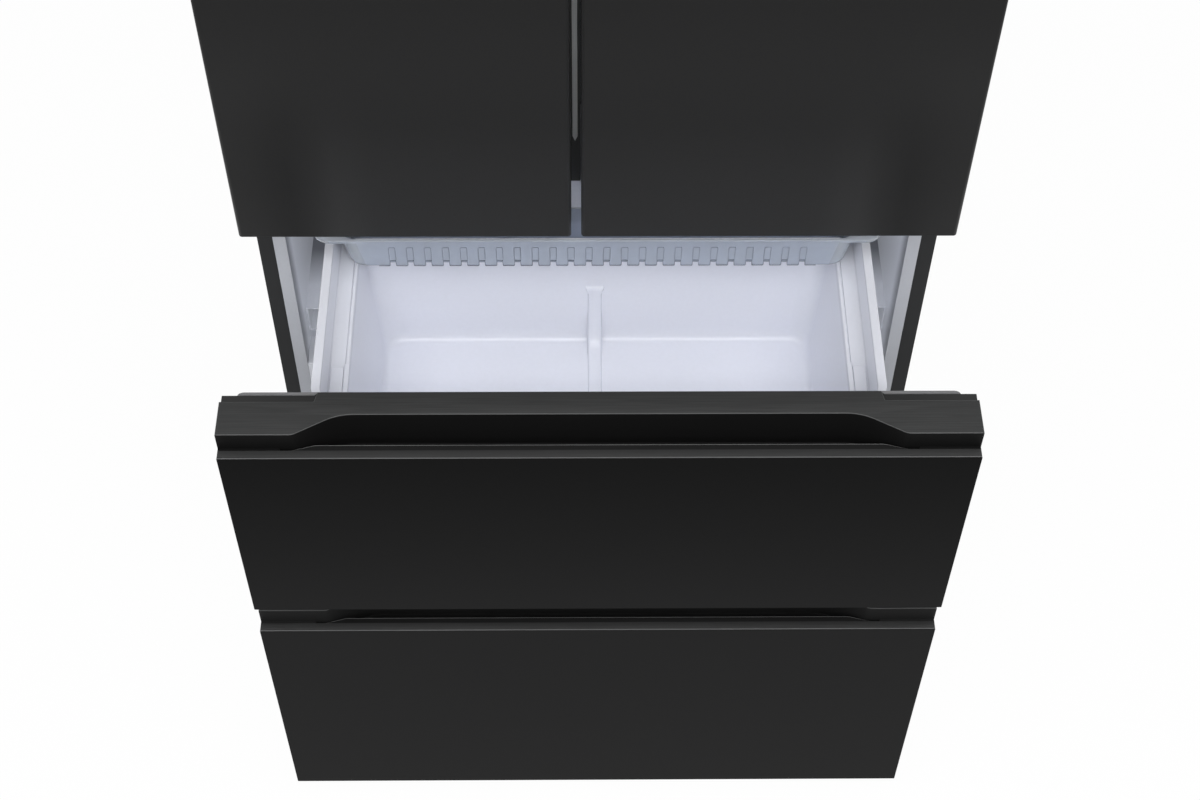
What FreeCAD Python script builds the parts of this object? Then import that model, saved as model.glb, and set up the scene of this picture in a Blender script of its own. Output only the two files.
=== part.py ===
"""Multi-door refrigerator: two hinged doors over two pull-out freezer drawers, both drawers drawn open.

Millimetres, +Z up, +X to the right of someone facing the doors, +Y from the doors towards the back.
The origin lies on the floor, in the middle of the space that the appliance takes with its drawers drawn open.
"""

import FreeCAD
import Part
import Sketcher
import math
import os

# Driving sizes, one cell of the sheet each, in millimetres unless a name says count or angle.
SIZES = {
    # the whole appliance
    "body_width": 796,
    "body_depth": 723,
    "cabinet_height": 1718,
    "cabinet_inset": 1,
    "floor_gap": 28,
    "drawer_pull": 277,
    # doors and drawer fronts
    "panel_thickness": 66,
    "gasket_depth": 12,
    "seal_clearance": 0.3,
    "front_sheet": 1.2,
    "left_door_width": 368,
    "door_gap": 11,
    "door_top_gap": 4,
    "corner_radius": 4,
    "lower_front_bottom": 35,
    "lower_front_height": 391,
    "drawer_gap": 49,
    "upper_front_height": 300,
    "door_drawer_gap": 35,
    "end_cap_height": 14,
    "front_liner_sheet": 2,
    # recessed handles along the top of each drawer front
    "handle_step": 24,
    "lip_depth": 11,
    "step_setback": 14,
    "pocket_setback": 40,
    "pocket_drop": 30,
    "pocket_floor": 4,
    "pocket_end_margin": 79.5,
    "pocket_slope_run": 46,
    "pocket_outer_radius": 15,
    "pocket_inner_radius": 60,
    "hump_side_margin": 102,
    "hump_depth": 3.5,
    "hump_height": 9,
    # seals
    "gasket_width": 14,
    "gasket_inset_side": 14,
    "gasket_inset_top": 10,
    "gasket_inset_bottom": 0.5,
    # cabinet walls
    "shell_sheet": 1.2,
    "shell_flange": 18,
    "liner_sheet": 2,
    "side_wall": 33,
    "back_wall": 58,
    "top_wall": 48,
    "divider_rise": 6,
    "divider_height": 44,
    "divider_skin": 10,
    "rail_overlap": 9,
    "rail_height": 60,
    "rail_depth": 46,
    "freezer_floor": 80,
    "machine_height": 270,
    "machine_depth": 235,
    "machine_wall": 33,
    "base_sheet": 2,
    # drawer bins and the tray that slides on the upper one
    "bin_rim": 10,
    "bin_wall": 3,
    "rim_height": 6,
    "rim_below_lip": 12.5,
    "ledge_drop": 48,
    "ledge_width": 23,
    "bin_draft": 15,
    "bin_start": 84,
    "upper_bin_rear_gap": 107,
    "lower_bin_rear_gap": 25,
    "rear_shelf": 84,
    "back_draft": 19,
    "upper_bin_clearance": 37.5,
    "lower_bin_clearance": 30,
    "rib_width": 16,
    "rib_height": 8,
    "tray_rear_gap": 2,
    "tray_length": 164,
    "tray_front_overhang": 5,
    "tray_front_draft": 6,
    "tray_overhang": 15,
    "tray_flange": 3,
    "tray_corner_radius": 20,
    "tray_drop": 44,
    "tray_wall": 2.5,
    "tray_side_gap": 6,
    "tray_draft": 8,
    "slot_count": 24,
    "slot_width": 5.5,
    "slot_end_margin": 58.25,
    "slot_top_margin": 12,
    "slot_floor_reach": 6,
    # telescopic slides
    "slide_gap": 0.3,
    "slide_height": 44,
    "slide_drop": 28,
    "outer_slide_width": 18,
    "middle_slide_width": 12,
    "inner_slide_width": 23.1,
    "slide_sheet": 2.5,
    "slide_end_gap": 5.7,
    "slide_setback": 22,
    "hanger_thickness": 5,
    "hanger_bearing": 30,
    # doors' insides
    "dyke_inset": 45,
    "dyke_width": 12,
    "dyke_height": 25,
    "dyke_end_margin": 60,
    "door_bin_count": 3,
    "door_bin_height": 110,
    "door_bin_depth": 88,
    "door_bin_wall": 2.5,
    "door_bin_start": 300,
    # hinges
    "hinge_inset": 12,
    "hinge_setback": 30,
    "hinge_pin_radius": 5,
    "hinge_pin_clearance": 0.06,
    "hinge_pin_length": 11,
    "hinge_plate": 4,
    "hinge_plate_width": 46,
    "hinge_reach": 120,
    "hinge_leaf_height": 16,
    "door_lift": 1,
    "hinge_cover_height": 24,
    "hinge_cover_wall": 2,
    # flip bar behind the gap between the doors
    "bar_width": 44.5,
    "bar_thickness": 18,
    "bar_margin": 10,
    "bar_overlap": 5.2,
    "bar_end_slant": 3.1,
    "bar_strip_width": 5,
    "bar_strip_depth": 0.6,
    "bar_strip_end": 46,
    "bar_pivot_inset": 6,
    "bar_pin_radius": 3,
    "bar_pin_length": 14,
    # fresh food compartment
    "shelf_count": 3,
    "shelf_glass": 5,
    "shelf_setback": 112,
    "shelf_trim_height": 16,
    "shelf_trim_depth": 14,
    "crisper_height": 190,
    "crisper_wall": 3,
    "crisper_gap": 6,
    "crisper_rear_gap": 49,
    "crisper_cover_gap": 14,
    "duct_width": 220,
    "duct_depth": 26,
    "duct_margin": 40,
    "vent_count": 5,
    "vent_height": 12,
    "vent_width": 150,
    "light_width": 260,
    "light_depth": 60,
    "light_height": 8,
    # cooling system
    "evaporator_cover_gap": 88,
    "evaporator_cover_sheet": 4,
    "evaporator_margin": 104,
    "evaporator_height": 200,
    "evaporator_depth": 60,
    "fin_count": 14,
    "compressor_radius": 82,
    "compressor_height": 168,
    "compressor_inset": 207,
    "compressor_round": 32,
    "compressor_foot": 12,
    "condenser_width": 150,
    "condenser_height": 150,
    "condenser_depth": 90,
    "condenser_inset": 167,
    "fan_radius": 62,
    "fan_hub_radius": 18,
    "fan_depth": 22,
    "fan_blade_count": 6,
    "fan_blade_sheet": 2.5,
    "fan_blade_angle": 35,
    "fan_shaft_radius": 3,
    "fan_shaft_clearance": 0.05,
    "fan_bracket": 14,
    "cover_slot_count": 9,
    "cover_slot_height": 8,
    "cover_slot_width": 240,
    "cover_slot_middle": 48,
    # feet, rollers and toe grille
    "foot_radius": 18,
    "foot_stem_radius": 6,
    "foot_pad_height": 12,
    "foot_inset": 70,
    "foot_setback": 52,
    "roller_radius": 13,
    "roller_width": 20,
    "roller_inset": 70,
    "roller_setback": 60,
    "roller_axle_radius": 4,
    "roller_axle_clearance": 0.06,
    "roller_fork": 3,
    "grille_sheet": 3,
    "grille_clearance": 6,
}

doc = FreeCAD.newDocument("refrigerator")
sheet = doc.addObject("Spreadsheet::Sheet", "sizes")
for row, (alias, number) in enumerate(SIZES.items(), start=1):
    sheet.set(f"A{row}", alias)
    sheet.set(f"B{row}", str(number))
    sheet.setAlias(f"B{row}", alias)
doc.recompute()

# A driving size inside an expression.
S = {alias: f"sizes.{alias}" for alias in SIZES}


def value(alias):
    """The number that a cell of the sheet holds."""
    return float(sheet.get(alias))


def count(alias):
    """A cell that counts pieces, as a whole number."""
    return int(round(value(alias)))


def add(*terms):
    """Adds expressions."""
    return "(" + " + ".join(terms) + ")"


def less(first, *rest):
    """Takes expressions away from the first one."""
    return "(" + " - ".join((first,) + rest) + ")"


def times(number, term):
    """A number times an expression."""
    return f"({number} * {term})"


def minus(term):
    """The expression with its sign turned."""
    return f"(0 - {term})"


def half(term):
    """Half an expression."""
    return f"({term} / 2)"


# Planes that several pieces share.
FACE = minus(half(less(S["body_depth"], S["drawer_pull"])))
PANEL_BACK = add(FACE, S["panel_thickness"])
CABINET_FRONT = add(PANEL_BACK, S["gasket_depth"])
CABINET_BACK = add(FACE, S["body_depth"])
DRAWER_FACE = less(FACE, S["drawer_pull"])
HALF_WIDTH = half(S["body_width"])
HALF_CABINET = less(HALF_WIDTH, S["cabinet_inset"])
HALF_INSIDE = less(HALF_CABINET, S["side_wall"])
LOWER_LIP = add(S["lower_front_bottom"], S["lower_front_height"])
UPPER_BOTTOM = add(LOWER_LIP, S["drawer_gap"])
UPPER_LIP = add(UPPER_BOTTOM, S["upper_front_height"])
DOOR_BOTTOM = add(UPPER_LIP, S["door_drawer_gap"])
DOOR_TOP = less(S["cabinet_height"], S["door_top_gap"])
DOOR_HEIGHT = less(DOOR_TOP, DOOR_BOTTOM)
LEFT_DOOR_EDGE = less(S["left_door_width"], HALF_WIDTH)
RIGHT_DOOR_EDGE = add(LEFT_DOOR_EDGE, S["door_gap"])
DIVIDER_TOP = add(DOOR_BOTTOM, S["divider_rise"])
DIVIDER_BOTTOM = less(DIVIDER_TOP, S["divider_height"])
FRIDGE_FLOOR = add(DIVIDER_TOP, S["divider_skin"])
FRIDGE_CEILING = less(S["cabinet_height"], S["top_wall"])
FREEZER_CEILING = less(DIVIDER_BOTTOM, S["liner_sheet"])
INSIDE_BACK = less(CABINET_BACK, S["back_wall"])
STEP_BACK = less(CABINET_BACK, S["machine_depth"], S["machine_wall"])
STEP_TOP = add(S["machine_height"], S["machine_wall"])
RAIL_TOP = add(UPPER_BOTTOM, S["rail_overlap"])
RAIL_BOTTOM = less(RAIL_TOP, S["rail_height"])
BASE_TOP = add(S["floor_gap"], S["base_sheet"])
LINER_FLANGE_EDGE = less(HALF_CABINET, S["shell_flange"])
HINGE_X = less(HALF_WIDTH, S["hinge_inset"])
HINGE_Y = add(FACE, S["hinge_setback"])
PIVOT_X = add(LEFT_DOOR_EDGE, S["bar_overlap"], minus(S["bar_width"]), S["bar_pivot_inset"])
BAR_FRONT = add(CABINET_FRONT, S["seal_clearance"])
BAR_PIVOT_Y = add(BAR_FRONT, half(S["bar_thickness"]))
COLD_COVER = less(INSIDE_BACK, S["evaporator_cover_gap"])
OUTER_SLIDE = less(HALF_INSIDE, S["outer_slide_width"])
MIDDLE_SLIDE = less(OUTER_SLIDE, S["slide_gap"], S["middle_slide_width"])
INNER_SLIDE = less(MIDDLE_SLIDE, S["slide_gap"], S["inner_slide_width"])
BIN_HALF = less(INNER_SLIDE, S["slide_gap"])
UPPER_BIN_LENGTH = less(COLD_COVER, S["upper_bin_rear_gap"], FACE, S["bin_start"])
LOWER_BIN_LENGTH = less(STEP_BACK, S["lower_bin_rear_gap"], FACE, S["bin_start"])
UPPER_BIN_FLOOR = add(RAIL_TOP, S["upper_bin_clearance"], S["bin_wall"])
LOWER_BIN_FLOOR = add(S["freezer_floor"], S["lower_bin_clearance"], S["bin_wall"])

pieces = {}


def piece(label, made):
    """Names a finished sub-part."""
    made.Label = label
    pieces[label] = made
    return made


def bind(made, **expressions):
    """Ties properties of an object to expressions; a double underscore stands for a dot."""
    for name, expression in expressions.items():
        made.setExpression(name.replace("__", "."), expression)
    return made


def put(made, x="0", y="0", z="0"):
    """Places an object by expressions."""
    return bind(made, Placement__Base__x=x, Placement__Base__y=y, Placement__Base__z=z)


def block(name, x, y, z):
    """A box between pairs of expressions."""
    made = doc.addObject("Part::Box", name)
    bind(made, Length=less(x[1], x[0]), Width=less(y[1], y[0]), Height=less(z[1], z[0]))
    return put(made, x[0], y[0], z[0])


def rod(name, radius, length, x, y, z, axis="z"):
    """A cylinder that starts at a point and runs along an axis."""
    turns = {
        "x": FreeCAD.Rotation(FreeCAD.Vector(0, 1, 0), 90),
        "y": FreeCAD.Rotation(FreeCAD.Vector(1, 0, 0), -90),
        "z": FreeCAD.Rotation(),
    }
    made = doc.addObject("Part::Cylinder", name)
    made.Placement = FreeCAD.Placement(FreeCAD.Vector(), turns[axis])
    bind(made, Radius=radius, Height=length)
    return put(made, x, y, z)


def tapered(name, low, high, z):
    """A box whose footprint changes from low to high; each is ((x, x), (y, y))."""
    made = doc.addObject("Part::Wedge", name)
    made.Placement = FreeCAD.Placement(
        FreeCAD.Vector(), FreeCAD.Rotation(FreeCAD.Vector(1, 0, 0), 90)
    )
    bind(made, Ymin=z[0], Ymax=z[1])
    bind(made, Xmin=low[0][0], Xmax=low[0][1], Zmin=minus(low[1][1]), Zmax=minus(low[1][0]))
    bind(made, X2min=high[0][0], X2max=high[0][1])
    return bind(made, Z2min=minus(high[1][1]), Z2max=minus(high[1][0]))


def fuse(name, *shapes):
    """One solid out of several that touch."""
    made = doc.addObject("Part::MultiFuse", name)
    made.Shapes = list(shapes)
    made.Refine = True
    return made


def cut(name, base, *tools):
    """The base less every tool."""
    made = doc.addObject("Part::Cut", name)
    made.Base = base
    made.Tool = tools[0] if len(tools) == 1 else fuse(name + "_tools", *tools)
    made.Refine = True
    return made


def group(name, *shapes):
    """Separate solids that share one node."""
    made = doc.addObject("Part::Compound", name)
    made.Links = list(shapes)
    return made


def mirrored(name, source):
    """The same shape on the other side of the middle plane."""
    made = doc.addObject("Part::Mirroring", name)
    made.Source = source
    made.Normal = FreeCAD.Vector(1, 0, 0)
    return made


def both(name, source):
    """A shape and its mirror image as one group."""
    return group(name, source, mirrored(name + "_other", source))


def frame(name, x, y, z, rim):
    """A flat frame; rim is its width at the (sides, top, bottom)."""
    hole_x = (add(x[0], rim[0]), less(x[1], rim[0]))
    hole_z = (add(z[0], rim[2]), less(z[1], rim[1]))
    return cut(name, block(name + "_plate", x, y, z), block(name + "_hole", hole_x, y, hole_z))


def open_box(name, x, y, z, wall, floor):
    """A box with no lid."""
    inside_x = (add(x[0], wall), less(x[1], wall))
    inside_y = (add(y[0], wall), less(y[1], wall))
    inside = block(name + "_inside", inside_x, inside_y, (add(z[0], floor), add(z[1], floor)))
    return cut(name, block(name + "_outside", x, y, z), inside)


def profile(name, corners, height, level):
    """A body padded upwards from an outline of (x, y) expressions in the ground plane."""
    body = doc.addObject("PartDesign::Body", name)
    ground = next(f for f in body.Origin.OriginFeatures if f.Role == "XY_Plane")
    sketch = body.newObject("Sketcher::SketchObject", name + "_outline")
    sketch.AttachmentSupport = [(ground, "")]
    sketch.MapMode = "FlatFace"
    for index in range(len(corners)):
        angle = 2 * math.pi * index / len(corners)
        after = 2 * math.pi * (index + 1) / len(corners)
        start = FreeCAD.Vector(math.cos(angle), math.sin(angle), 0)
        end = FreeCAD.Vector(math.cos(after), math.sin(after), 0)
        sketch.addGeometry(Part.LineSegment(start, end))
    place_corners(sketch, corners)
    pad = body.newObject("PartDesign::Pad", name + "_pad")
    pad.Profile = sketch
    bind(pad, Length=height)
    body.Tip = pad
    put(body, z=level)
    doc.recompute()
    return body


def place_corners(sketch, corners):
    """Closes a sketch's outline and ties each corner to its pair of expressions."""
    for index in range(len(corners)):
        before = (index - 1) % len(corners)
        sketch.addConstraint(Sketcher.Constraint("Coincident", before, 2, index, 1))
    for index, corner in enumerate(corners):
        for kind, expression in zip(("DistanceX", "DistanceY"), corner):
            number = sketch.addConstraint(Sketcher.Constraint(kind, -1, 1, index, 1, 1.0))
            sketch.setExpression(f"Constraints[{number}]", expression)


def round_uprights(body, radius, chosen):
    """Rounds the upright edges of a padded body whose middle satisfies chosen(x, y)."""
    names = []
    solid = body.Tip
    for number, edge in enumerate(solid.Shape.Edges, start=1):
        upright = abs(edge.Vertexes[0].Z - edge.Vertexes[-1].Z) > edge.Length / 2
        middle = edge.CenterOfMass
        if upright and chosen(middle.x, middle.y):
            names.append(f"Edge{number}")
    rounding = body.newObject("PartDesign::Fillet", solid.Name + "_round")
    rounding.Base = (solid, names)
    bind(rounding, Radius=radius)
    body.Tip = rounding
    doc.recompute()
    return body


def number_of(expression):
    """What an expression comes to now, through a spare property of the sheet."""
    return float(sheet.evalExpression(expression))


def cabinet():
    """Outer shell, liners, insulation, base, back and the front trims."""
    inside_shell = less(HALF_CABINET, S["shell_sheet"])
    shell_z = (S["floor_gap"], S["cabinet_height"])
    shell_y = (CABINET_FRONT, less(CABINET_BACK, S["shell_sheet"]))
    under_top = less(S["cabinet_height"], S["shell_sheet"])
    shell = cut(
        "shell",
        block("shell_block", (minus(HALF_CABINET), HALF_CABINET), shell_y, shell_z),
        block(
            "shell_void",
            (minus(inside_shell), inside_shell),
            (add(CABINET_FRONT, S["shell_sheet"]), CABINET_BACK),
            ("0", under_top),
        ),
        block(
            "shell_mouth",
            (minus(LINER_FLANGE_EDGE), LINER_FLANGE_EDGE),
            (FACE, CABINET_BACK),
            ("0", less(S["cabinet_height"], S["shell_flange"])),
        ),
    )
    piece("cabinet_shell", shell)

    back_y = (less(CABINET_BACK, S["shell_sheet"]), CABINET_BACK)
    full_x = (minus(HALF_CABINET), HALF_CABINET)
    piece("back_panel", block("back", full_x, back_y, (S["machine_height"], S["cabinet_height"])))
    inner_x = (minus(inside_shell), inside_shell)
    base_y = (add(CABINET_FRONT, S["shell_sheet"]), less(CABINET_BACK, S["shell_sheet"]))
    piece("base_plate", block("base", inner_x, base_y, (S["floor_gap"], BASE_TOP)))

    fridge_liner()
    freezer_liner()
    insulation(inner_x, under_top)

    flange_x = (minus(LINER_FLANGE_EDGE), LINER_FLANGE_EDGE)
    trim_y = (CABINET_FRONT, add(CABINET_FRONT, S["liner_sheet"]))
    piece("divider_trim", block("divider", flange_x, trim_y, (DIVIDER_BOTTOM, DIVIDER_TOP)))
    rail_y = (CABINET_FRONT, add(CABINET_FRONT, S["rail_depth"]))
    rail_x = (minus(HALF_INSIDE), HALF_INSIDE)
    piece("drawer_rail", block("rail", rail_x, rail_y, (RAIL_BOTTOM, RAIL_TOP)))


def fridge_liner():
    """White liner of the fresh food compartment with its front flange."""
    skin = S["liner_sheet"]
    inside_x = (minus(HALF_INSIDE), HALF_INSIDE)
    inside_y = (CABINET_FRONT, INSIDE_BACK)
    inside_z = (FRIDGE_FLOOR, FRIDGE_CEILING)
    outside = block(
        "fridge_outside",
        (less(inside_x[0], skin), add(inside_x[1], skin)),
        (CABINET_FRONT, add(INSIDE_BACK, skin)),
        (less(FRIDGE_FLOOR, skin), add(FRIDGE_CEILING, skin)),
    )
    flange = block(
        "fridge_flange",
        (minus(LINER_FLANGE_EDGE), LINER_FLANGE_EDGE),
        (CABINET_FRONT, add(CABINET_FRONT, skin)),
        (DIVIDER_TOP, less(S["cabinet_height"], S["shell_flange"])),
    )
    tub = fuse("fridge_tub", outside, flange)
    piece("fridge_liner", cut("fridge", tub, block("fridge_inside", inside_x, inside_y, inside_z)))


def freezer_spaces(name, skin):
    """The freezer's two joined spaces, grown by a skin: a shallow lower one and a deep upper one."""
    x = (less(minus(HALF_INSIDE), skin), add(HALF_INSIDE, skin))
    ceiling = add(FREEZER_CEILING, skin)
    deep = (CABINET_FRONT, add(INSIDE_BACK, skin))
    shallow = (CABINET_FRONT, add(STEP_BACK, skin))
    upper = block(name + "_upper", x, deep, (less(STEP_TOP, skin), ceiling))
    lower = block(name + "_lower", x, shallow, (less(S["freezer_floor"], skin), ceiling))
    return fuse(name, upper, lower)


def freezer_liner():
    """White liner of the freezer, stepped over the machine compartment."""
    flange = block(
        "freezer_flange",
        (minus(LINER_FLANGE_EDGE), LINER_FLANGE_EDGE),
        (CABINET_FRONT, add(CABINET_FRONT, S["liner_sheet"])),
        (BASE_TOP, DIVIDER_BOTTOM),
    )
    tub = fuse("freezer_tub", freezer_spaces("freezer_outside", S["liner_sheet"]), flange)
    piece("freezer_liner", cut("freezer", tub, freezer_spaces("freezer_inside", "0")))


def insulation(inner_x, under_top):
    """Foam between the shell and the liners, cut away over the machine compartment."""
    foam_front = add(CABINET_FRONT, S["liner_sheet"])
    foam_back = less(CABINET_BACK, S["shell_sheet"])
    skin = S["liner_sheet"]
    fridge = block(
        "foam_fridge",
        (less(minus(HALF_INSIDE), skin), add(HALF_INSIDE, skin)),
        (CABINET_FRONT, add(INSIDE_BACK, skin)),
        (less(FRIDGE_FLOOR, skin), add(FRIDGE_CEILING, skin)),
    )
    machine = block(
        "foam_machine",
        inner_x,
        (less(CABINET_BACK, S["machine_depth"]), CABINET_BACK),
        ("0", S["machine_height"]),
    )
    blank = block("foam_block", inner_x, (foam_front, foam_back), (BASE_TOP, under_top))
    freezer = freezer_spaces("foam_freezer", S["liner_sheet"])
    piece("foam_core", cut("foam", blank, fridge, freezer, machine))


def gasket(name, x, z, back):
    """Seal frame on the back of a door or drawer front."""
    ring_x = (add(x[0], S["gasket_inset_side"]), less(x[1], S["gasket_inset_side"]))
    ring_z = (add(z[0], S["gasket_inset_bottom"]), less(z[1], S["gasket_inset_top"]))
    ring_y = (back, less(add(back, S["gasket_depth"]), S["seal_clearance"]))
    return frame(name, ring_x, ring_y, ring_z, (S["gasket_width"],) * 3)


def door(side, x):
    """One hinged door: skin, end caps, foam, inner liner with bin supports, seal and bins."""
    z = (DOOR_BOTTOM, DOOR_TOP)
    left = side == "left"
    corners = ((x[0], FACE), (x[1], FACE), (x[1], PANEL_BACK), (x[0], PANEL_BACK))
    outline = profile(f"{side}_skin_blank", corners, DOOR_HEIGHT, DOOR_BOTTOM)
    face_line = number_of(FACE)
    round_uprights(outline, S["corner_radius"], lambda ex, ey: abs(ey - face_line) < 1e-6)
    sheet_in = S["front_sheet"]
    inner_x = (add(x[0], sheet_in), less(x[1], sheet_in))
    inner_corners = (
        (inner_x[0], add(FACE, sheet_in)),
        (inner_x[1], add(FACE, sheet_in)),
        (inner_x[1], add(PANEL_BACK, sheet_in)),
        (inner_x[0], add(PANEL_BACK, sheet_in)),
    )
    void = profile(f"{side}_skin_void", inner_corners, DOOR_HEIGHT, DOOR_BOTTOM)
    inner_line = number_of(add(FACE, sheet_in))
    inner_radius = less(S["corner_radius"], sheet_in)
    round_uprights(void, inner_radius, lambda ex, ey: abs(ey - inner_line) < 1e-6)
    piece(f"{side}_door_skin", cut(f"{side}_skin", outline, void))

    liner_front = less(PANEL_BACK, S["front_liner_sheet"])
    fill_y = (add(FACE, S["corner_radius"]), liner_front)
    low_z = (z[0], add(z[0], S["end_cap_height"]))
    high_z = (less(z[1], S["end_cap_height"]), z[1])
    pin_x = minus(HINGE_X) if left else HINGE_X
    bore = add(S["hinge_pin_radius"], S["hinge_pin_clearance"])
    depth = add(S["hinge_pin_length"], S["hinge_pin_clearance"])
    low_bore = rod(f"{side}_low_bore", bore, depth, pin_x, HINGE_Y, z[0])
    high_bore = rod(f"{side}_high_bore", bore, depth, pin_x, HINGE_Y, less(z[1], depth))
    low_cap = cut(f"{side}_low_cap", block(f"{side}_low_block", inner_x, fill_y, low_z), low_bore)
    high_cap = cut(f"{side}_high_cap", block(f"{side}_high_block", inner_x, fill_y, high_z), high_bore)
    piece(f"{side}_door_caps", group(f"{side}_caps", low_cap, high_cap))
    foam_z = (low_z[1], high_z[0])
    piece(f"{side}_door_foam", block(f"{side}_foam", inner_x, fill_y, foam_z))

    plate = block(f"{side}_liner_plate", inner_x, (liner_front, PANEL_BACK), z)
    dyke_y = (PANEL_BACK, add(PANEL_BACK, S["dyke_height"]))
    dyke_z = (add(z[0], S["dyke_end_margin"]), less(z[1], S["dyke_end_margin"]))
    dyke_low = (add(x[0], S["dyke_inset"]), add(x[0], S["dyke_inset"], S["dyke_width"]))
    dyke_high = (less(x[1], S["dyke_inset"], S["dyke_width"]), less(x[1], S["dyke_inset"]))
    dykes = [
        block(f"{side}_dyke_low", dyke_low, dyke_y, dyke_z),
        block(f"{side}_dyke_high", dyke_high, dyke_y, dyke_z),
    ]
    piece(f"{side}_door_liner", fuse(f"{side}_liner", plate, *dykes))
    piece(f"{side}_door_gasket", gasket(f"{side}_seal", x, z, PANEL_BACK))

    shelves = []
    lowest = add(z[0], S["door_bin_start"])
    rise = less(dyke_z[1], S["door_bin_height"], lowest)
    for number in range(count("door_bin_count")):
        low = add(lowest, times(number, f"({rise} / ({S['door_bin_count']} - 1))"))
        shelves.append(
            open_box(
                f"{side}_bin_{number}",
                (dyke_low[1], dyke_high[0]),
                (PANEL_BACK, add(PANEL_BACK, S["door_bin_depth"])),
                (low, add(low, S["door_bin_height"])),
                S["door_bin_wall"],
                S["door_bin_wall"],
            )
        )
    piece(f"{side}_door_bins", group(f"{side}_bins", *shelves))


def flip_bar():
    """Bar on the left door that closes the gap between the doors, with its front strip and pivots."""
    right = add(LEFT_DOOR_EDGE, S["bar_overlap"])
    left = less(right, S["bar_width"])
    back = add(BAR_FRONT, S["bar_thickness"])
    low = add(FRIDGE_FLOOR, S["bar_margin"])
    length = less(FRIDGE_CEILING, S["bar_margin"], low)
    groove_front = add(BAR_FRONT, S["bar_strip_depth"])
    strip_left = less(right, S["bar_strip_width"])
    corners = (
        (left, BAR_FRONT),
        (strip_left, BAR_FRONT),
        (strip_left, groove_front),
        (right, groove_front),
        (less(right, S["bar_end_slant"]), back),
        (left, back),
    )
    bar = profile("bar_blank", corners, length, low)
    bore_radius = add(S["bar_pin_radius"], S["hinge_pin_clearance"])
    depth = add(S["bar_pin_length"], S["hinge_pin_clearance"])
    high = add(low, length)
    bores = [
        rod("bar_low_bore", bore_radius, depth, PIVOT_X, BAR_PIVOT_Y, low),
        rod("bar_high_bore", bore_radius, depth, PIVOT_X, BAR_PIVOT_Y, less(high, depth)),
    ]
    piece("flip_bar", cut("bar", bar, *bores))
    strip_z = (add(low, S["bar_strip_end"]), high)
    piece("flip_bar_strip", block("strip", (strip_left, right), (BAR_FRONT, groove_front), strip_z))

    arms = []
    for name, level, pin_from in (
        ("low", less(low, S["hinge_plate"], S["seal_clearance"]), less(low, S["seal_clearance"])),
        ("high", add(high, S["seal_clearance"]), less(high, S["bar_pin_length"])),
    ):
        reach_x = (less(PIVOT_X, S["bar_pin_radius"]), add(PIVOT_X, S["bar_pin_radius"]))
        reach_y = (PANEL_BACK, add(BAR_PIVOT_Y, S["bar_pin_radius"]))
        plate = block(f"bar_arm_{name}", reach_x, reach_y, (level, add(level, S["hinge_plate"])))
        pin_length = add(S["bar_pin_length"], S["seal_clearance"])
        pin = rod(f"bar_pin_{name}", S["bar_pin_radius"], pin_length, PIVOT_X, BAR_PIVOT_Y, pin_from)
        arms.append(fuse(f"bar_bracket_{name}", plate, pin))
    piece("flip_bar_brackets", group("bar_brackets", *arms))


def hinges():
    """Top and middle hinge plates with their pins, and the covers over the top ones."""
    arm_x = (less(HINGE_X, half(S["hinge_plate_width"])), HALF_CABINET)
    nose = less(HINGE_Y, half(S["hinge_plate_width"]))
    tail = add(CABINET_FRONT, S["hinge_reach"])
    shelf_top = add(S["cabinet_height"], S["hinge_plate"])
    top_plate = block("top_hinge_plate", arm_x, (nose, tail), (S["cabinet_height"], shelf_top))
    drop = add(less(S["cabinet_height"], DOOR_TOP), S["hinge_pin_length"], S["hinge_plate"])
    pin_low = less(DOOR_TOP, S["hinge_pin_length"])
    top_pin = rod("top_hinge_pin", S["hinge_pin_radius"], drop, HINGE_X, HINGE_Y, pin_low)
    top = fuse("top_hinge", top_plate, top_pin)

    level = less(DOOR_BOTTOM, S["door_lift"])
    mid_z = (less(level, S["hinge_plate"]), level)
    mid_plate = block("mid_hinge_plate", arm_x, (nose, CABINET_FRONT), mid_z)
    leaf_z = (less(level, S["hinge_leaf_height"]), level)
    leaf_y = (less(CABINET_FRONT, S["hinge_plate"]), CABINET_FRONT)
    leaf_x = (add(HALF_INSIDE, S["liner_sheet"]), HALF_CABINET)
    leaf = block("mid_hinge_leaf", leaf_x, leaf_y, leaf_z)
    pin_up = add(S["hinge_pin_length"], S["door_lift"], S["hinge_plate"])
    mid_pin = rod("mid_hinge_pin", S["hinge_pin_radius"], pin_up, HINGE_X, HINGE_Y, mid_z[0])
    middle = fuse("mid_hinge", mid_plate, leaf, mid_pin)
    sides = [top, mirrored("top_hinge_left", top), middle, mirrored("mid_hinge_left", middle)]
    piece("door_hinges", group("hinge_set", *sides))

    wall = S["hinge_cover_wall"]
    gap = S["seal_clearance"]
    cover_x = (less(arm_x[0], wall, gap), arm_x[1])
    cover_y = (less(nose, wall, gap), add(tail, wall, gap))
    cover_z = (S["cabinet_height"], add(S["cabinet_height"], S["hinge_cover_height"]))
    inside = block(
        "cover_inside",
        (less(arm_x[0], gap), add(arm_x[1], wall)),
        (less(nose, gap), add(tail, gap)),
        (less(cover_z[0], wall), add(shelf_top, gap)),
    )
    cover = cut("hinge_cover", block("cover_block", cover_x, cover_y, cover_z), inside)
    piece("hinge_covers", both("cover_pair", cover))


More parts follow.
